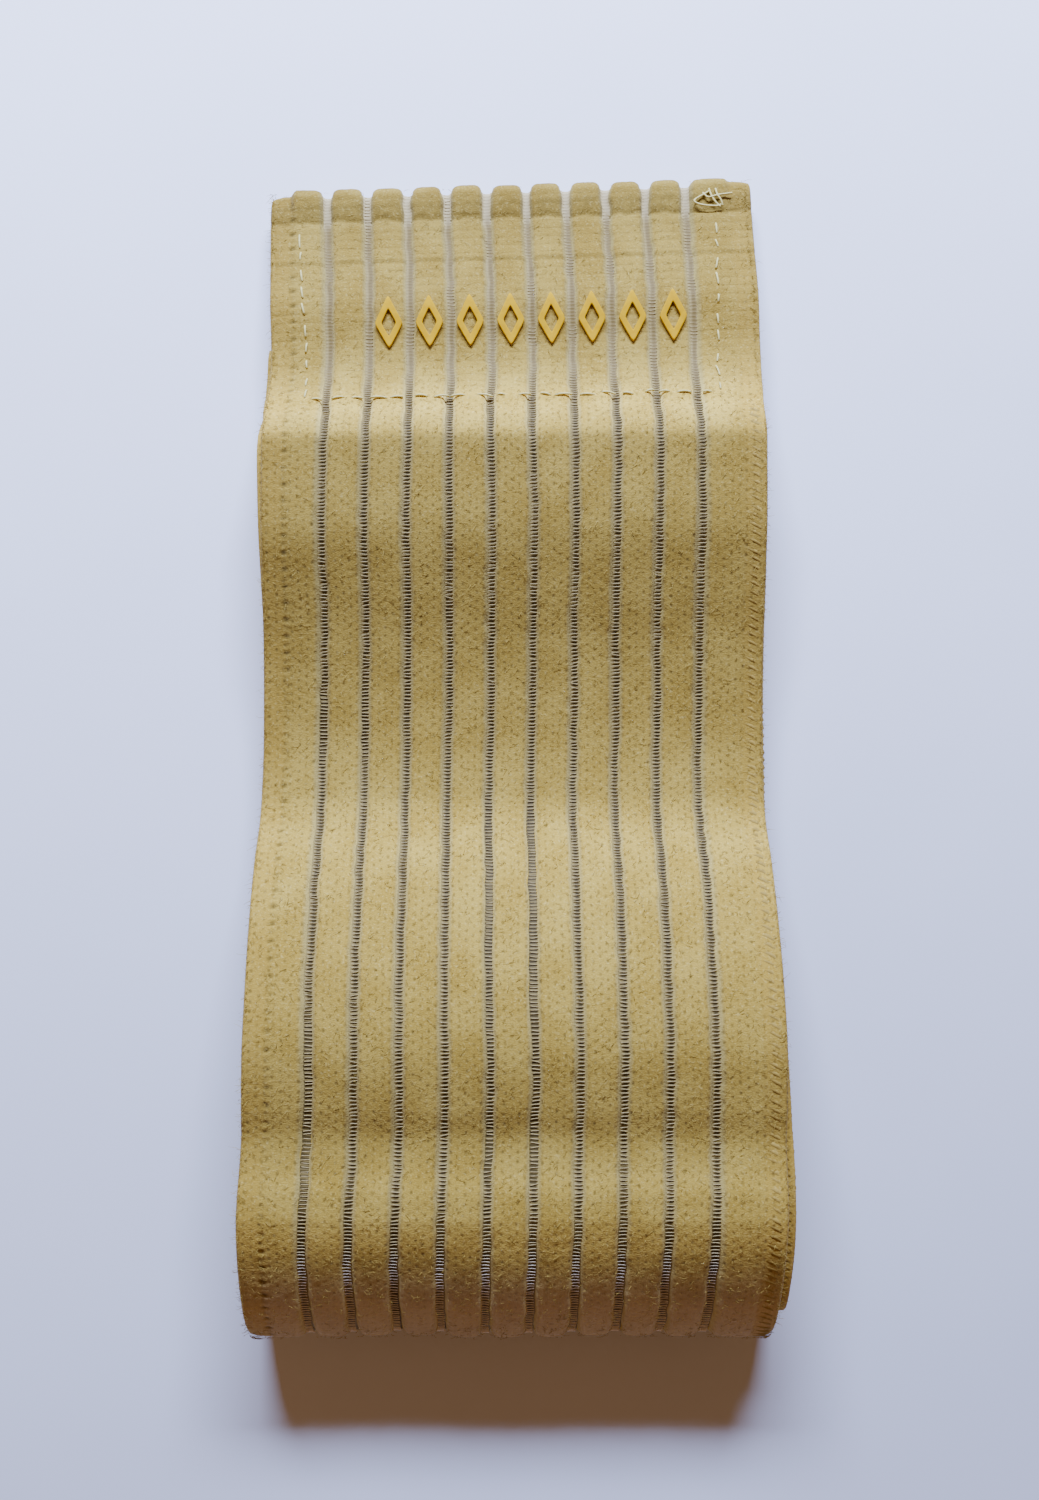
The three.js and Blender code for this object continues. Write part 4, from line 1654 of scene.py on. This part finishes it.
@dataclass
class HookPatch:
    """Stiff hook tape under the loose end: a thin sheet with rounded corners and rows of hooks."""

    path: BandPath
    finishes: Finishes
    seat_gap: float = 0.3 * MM
    step_length: float = 4 * MM
    corner: float = 3 * MM
    hook_pitch: float = 1.55 * MM
    hook_height: float = 0.55 * MM
    tape: float = 0.75 * MM

    def depth(self, away: Array) -> Array:
        """How far below the band's middle the tape's middle lies.

        Args:
            away: Distances from the hem's edge.

        Returns:
            The depth at each.
        """
        under = 1 - smoothstep(away, self.path.hem_turn, self.path.hem_turn + self.step_length)
        face = self.path.half_band + self.seat_gap + self.tape / 2
        return face + under * self.path.layer_pitch

    def on_tape(self, away: Array, across: Array, height: Array) -> Array:
        """Points above the tape's middle.

        Args:
            away: Distances from the hem's edge.
            across: Places across the band.
            height: Heights above the middle.

        Returns:
            One point for each.
        """
        away = np.asarray(away, float)
        return self.path.place(self.path.hem_edge + away, across, height - self.depth(away))

    def sheet(self) -> Shape:
        """The tape without its hooks.

        Returns:
            A thin closed sheet with rounded corners.
        """
        rows = np.linspace(0, self.path.patch_length, 44)
        share = np.linspace(-1, 1, 60)
        from_end = np.minimum(rows, self.path.patch_length - rows)
        cut = np.clip(self.corner - from_end, 0, self.corner)
        draw = self.corner - np.sqrt(np.maximum(self.corner ** 2 - cut ** 2, 0))
        across = (self.path.patch_width / 2 - draw)[:, None] * share
        away = np.broadcast_to(self.path.hem_roll + rows[:, None], across.shape)
        at_sides = smoothstep(np.abs(share), 0.97, 1.0)[None]
        at_ends = 1 - smoothstep(from_end, 0, 0.8 * MM)[:, None]
        thick = self.tape / 2 * (1 - 0.7 * np.maximum(at_sides, at_ends))
        top = self.on_tape(away, across, thick)
        bottom = self.on_tape(away, across, -thick)
        count, size = across.shape
        upper = grid_faces(count, size)
        lower = upper[:, ::-1] + count * size
        index = np.arange(count * size).reshape(count, size)
        border = np.concatenate([index[0], index[1:, -1], index[-1, -2::-1], index[-2:0:-1, 0]])
        following = np.roll(border, -1)
        rim = np.column_stack([following, border, border + count * size, following + count * size])
        points = np.vstack([top.reshape(-1, 3), bottom.reshape(-1, 3)])
        return Shape(points, [upper[:, ::-1], lower[:, ::-1], rim[:, ::-1]])

    def hooks(self) -> Shape:
        """Rows of small hooks on the tape's lower face.

        Returns:
            All the hooks.
        """
        rng = np.random.default_rng(101)
        inset = 1.6 * MM
        along = np.arange(inset, self.path.patch_length - inset, self.hook_pitch) + self.path.hem_roll
        reach = self.path.patch_width / 2 - inset
        across = np.arange(-reach, reach, self.hook_pitch)
        away, place = (values.ravel() for values in np.meshgrid(along, across, indexing="ij"))
        side = np.where(rng.random(len(away)) < 0.5, -1.0, 1.0)[:, None]
        bend = np.array([0.0, 0.0, 0.35, 0.7, 0.8]) * self.hook_height
        drop = np.array([-0.2, 0.55, 0.95, 0.85, 0.45]) * self.hook_height
        lines = self.on_tape(away[:, None] + side * bend, place[:, None] + 0 * bend, -self.tape / 2 - drop)
        guide = np.broadcast_to(np.array([1.0, 0.0, 0.0]), lines.shape)
        return tubes(lines, guide, 0.09 * MM, 4)

    def build(self) -> list[bpy.types.Object]:
        """Makes the tape and its hooks.

        Returns:
            The two pieces.
        """
        tape = self.sheet().to_object("hook_sheet", (self.finishes.hook,))
        hooks = self.hooks().to_object("hook_rows", (self.finishes.hook,))
        for piece in (tape, hooks):
            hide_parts("hook_patch")
        return [tape, hooks]


@dataclass
class Studio:
    """Camera, pale floor and soft light."""

    aim: tuple[float, float, float] = (0.5 * MM, -2.5 * MM, 0.0)
    camera_distance: float = 228 * MM
    camera_elevation: float = 85.5
    lens: float = 32.66
    sensor: float = 36.0
    floor_reach: float = 6.0
    key_distance: float = 0.65
    key_elevation: float = 37.3
    key_turn: float = 0.0
    key_size: tuple[float, float] = (0.42, 0.108)
    key_power: float = 21.0
    key_colour: Colour = (0.476, 0.595, 1.0)
    fill: Colour = (0.235, 0.13, 0.07)
    backdrop: Colour = (0.72, 0.74, 0.77)

    def camera(self) -> None:
        """Makes the camera at the photo's angle."""
        tilt = math.radians(self.camera_elevation)
        back = Vector((0.0, -math.cos(tilt), math.sin(tilt)))
        lens = bpy.data.cameras.new("camera")
        lens.lens, lens.sensor_width = self.lens, self.sensor
        lens.clip_start = 0.01
        holder = bpy.data.objects.new("camera", lens)
        holder.location = Vector(self.aim) + back * self.camera_distance
        holder.rotation_euler = (-back).to_track_quat("-Z", "Y").to_euler()
        bpy.context.scene.collection.objects.link(holder)
        bpy.context.scene.camera = holder

    def floor(self) -> bpy.types.Object:
        """Makes the pale floor.

        Returns:
            The floor.
        """
        reach = self.floor_reach
        corners = np.array([[-reach, -reach, 0], [reach, -reach, 0], [reach, reach, 0], [-reach, reach, 0]])
        shape = Shape(corners, [np.array([[0, 1, 2, 3]])])
        floor = shape.to_object("floor", (FloorFinish().material(),))
        floor.location.z = -0.1 * MM
        return floor

    def light(self) -> None:
        """Makes the key light beyond the loose end, and the soft fill all round."""
        tilt, turn = math.radians(self.key_elevation), math.radians(self.key_turn)
        towards = Vector((math.sin(turn) * math.cos(tilt), math.cos(turn) * math.cos(tilt), math.sin(tilt)))
        key = bpy.data.lights.new("key", "AREA")
        key.shape, key.size, key.size_y = "RECTANGLE", *self.key_size
        key.energy, key.color = self.key_power, self.key_colour
        holder = bpy.data.objects.new("key", key)
        holder.location = towards * self.key_distance
        holder.rotation_euler = (-towards).to_track_quat("-Z", "Y").to_euler()
        bpy.context.scene.collection.objects.link(holder)
        world = bpy.data.worlds.new("studio")
        world.use_nodes = True
        bpy.context.scene.world = world
        tree = world.node_tree
        fill = tree.nodes["Background"]
        fill.inputs["Color"].default_value = (*self.fill, 1.0)
        shown = tree.nodes.new("ShaderNodeBackground")
        shown.inputs["Color"].default_value = (*self.backdrop, 1.0)
        rays = tree.nodes.new("ShaderNodeLightPath")
        chosen = tree.nodes.new("ShaderNodeMixShader")
        tree.links.new(rays.outputs["Is Camera Ray"], chosen.inputs[0])
        tree.links.new(fill.outputs[0], chosen.inputs[1])
        tree.links.new(shown.outputs[0], chosen.inputs[2])
        tree.links.new(chosen.outputs[0], tree.nodes["World Output"].inputs[0])


def dress(pieces: Sequence[bpy.types.Object]) -> None:
    """Puts pieces on the body and reports each one.

    Args:
        pieces: The pieces.
    """
    for piece in pieces:
        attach(piece, BODY)
        log.info("%s: %d faces", piece.name, len(piece.data.polygons))


def main() -> None:
    """Builds the studio and the bandage, piece by piece."""
    logging.basicConfig(level=logging.INFO, format="%(message)s")
    studio = Studio()
    studio.camera()
    floor = studio.floor()
    studio.light()
    finishes = Finishes.made()
    path = BandPath()
    log.info("band %.4f m long, hem edge at %.4f m", path.length, path.hem_edge)
    surface = KnitSurface(path)
    band = ElasticBand(path, surface, finishes)
    band_pieces = band.build()
    end_pieces = LooseEnd(path, surface, band, finishes).build()
    patch_pieces = HookPatch(path, finishes).build()
    dress(band_pieces + end_pieces[:2])
    dress(end_pieces[2:])
    dress(patch_pieces)


if __name__ == "__main__":
    main()
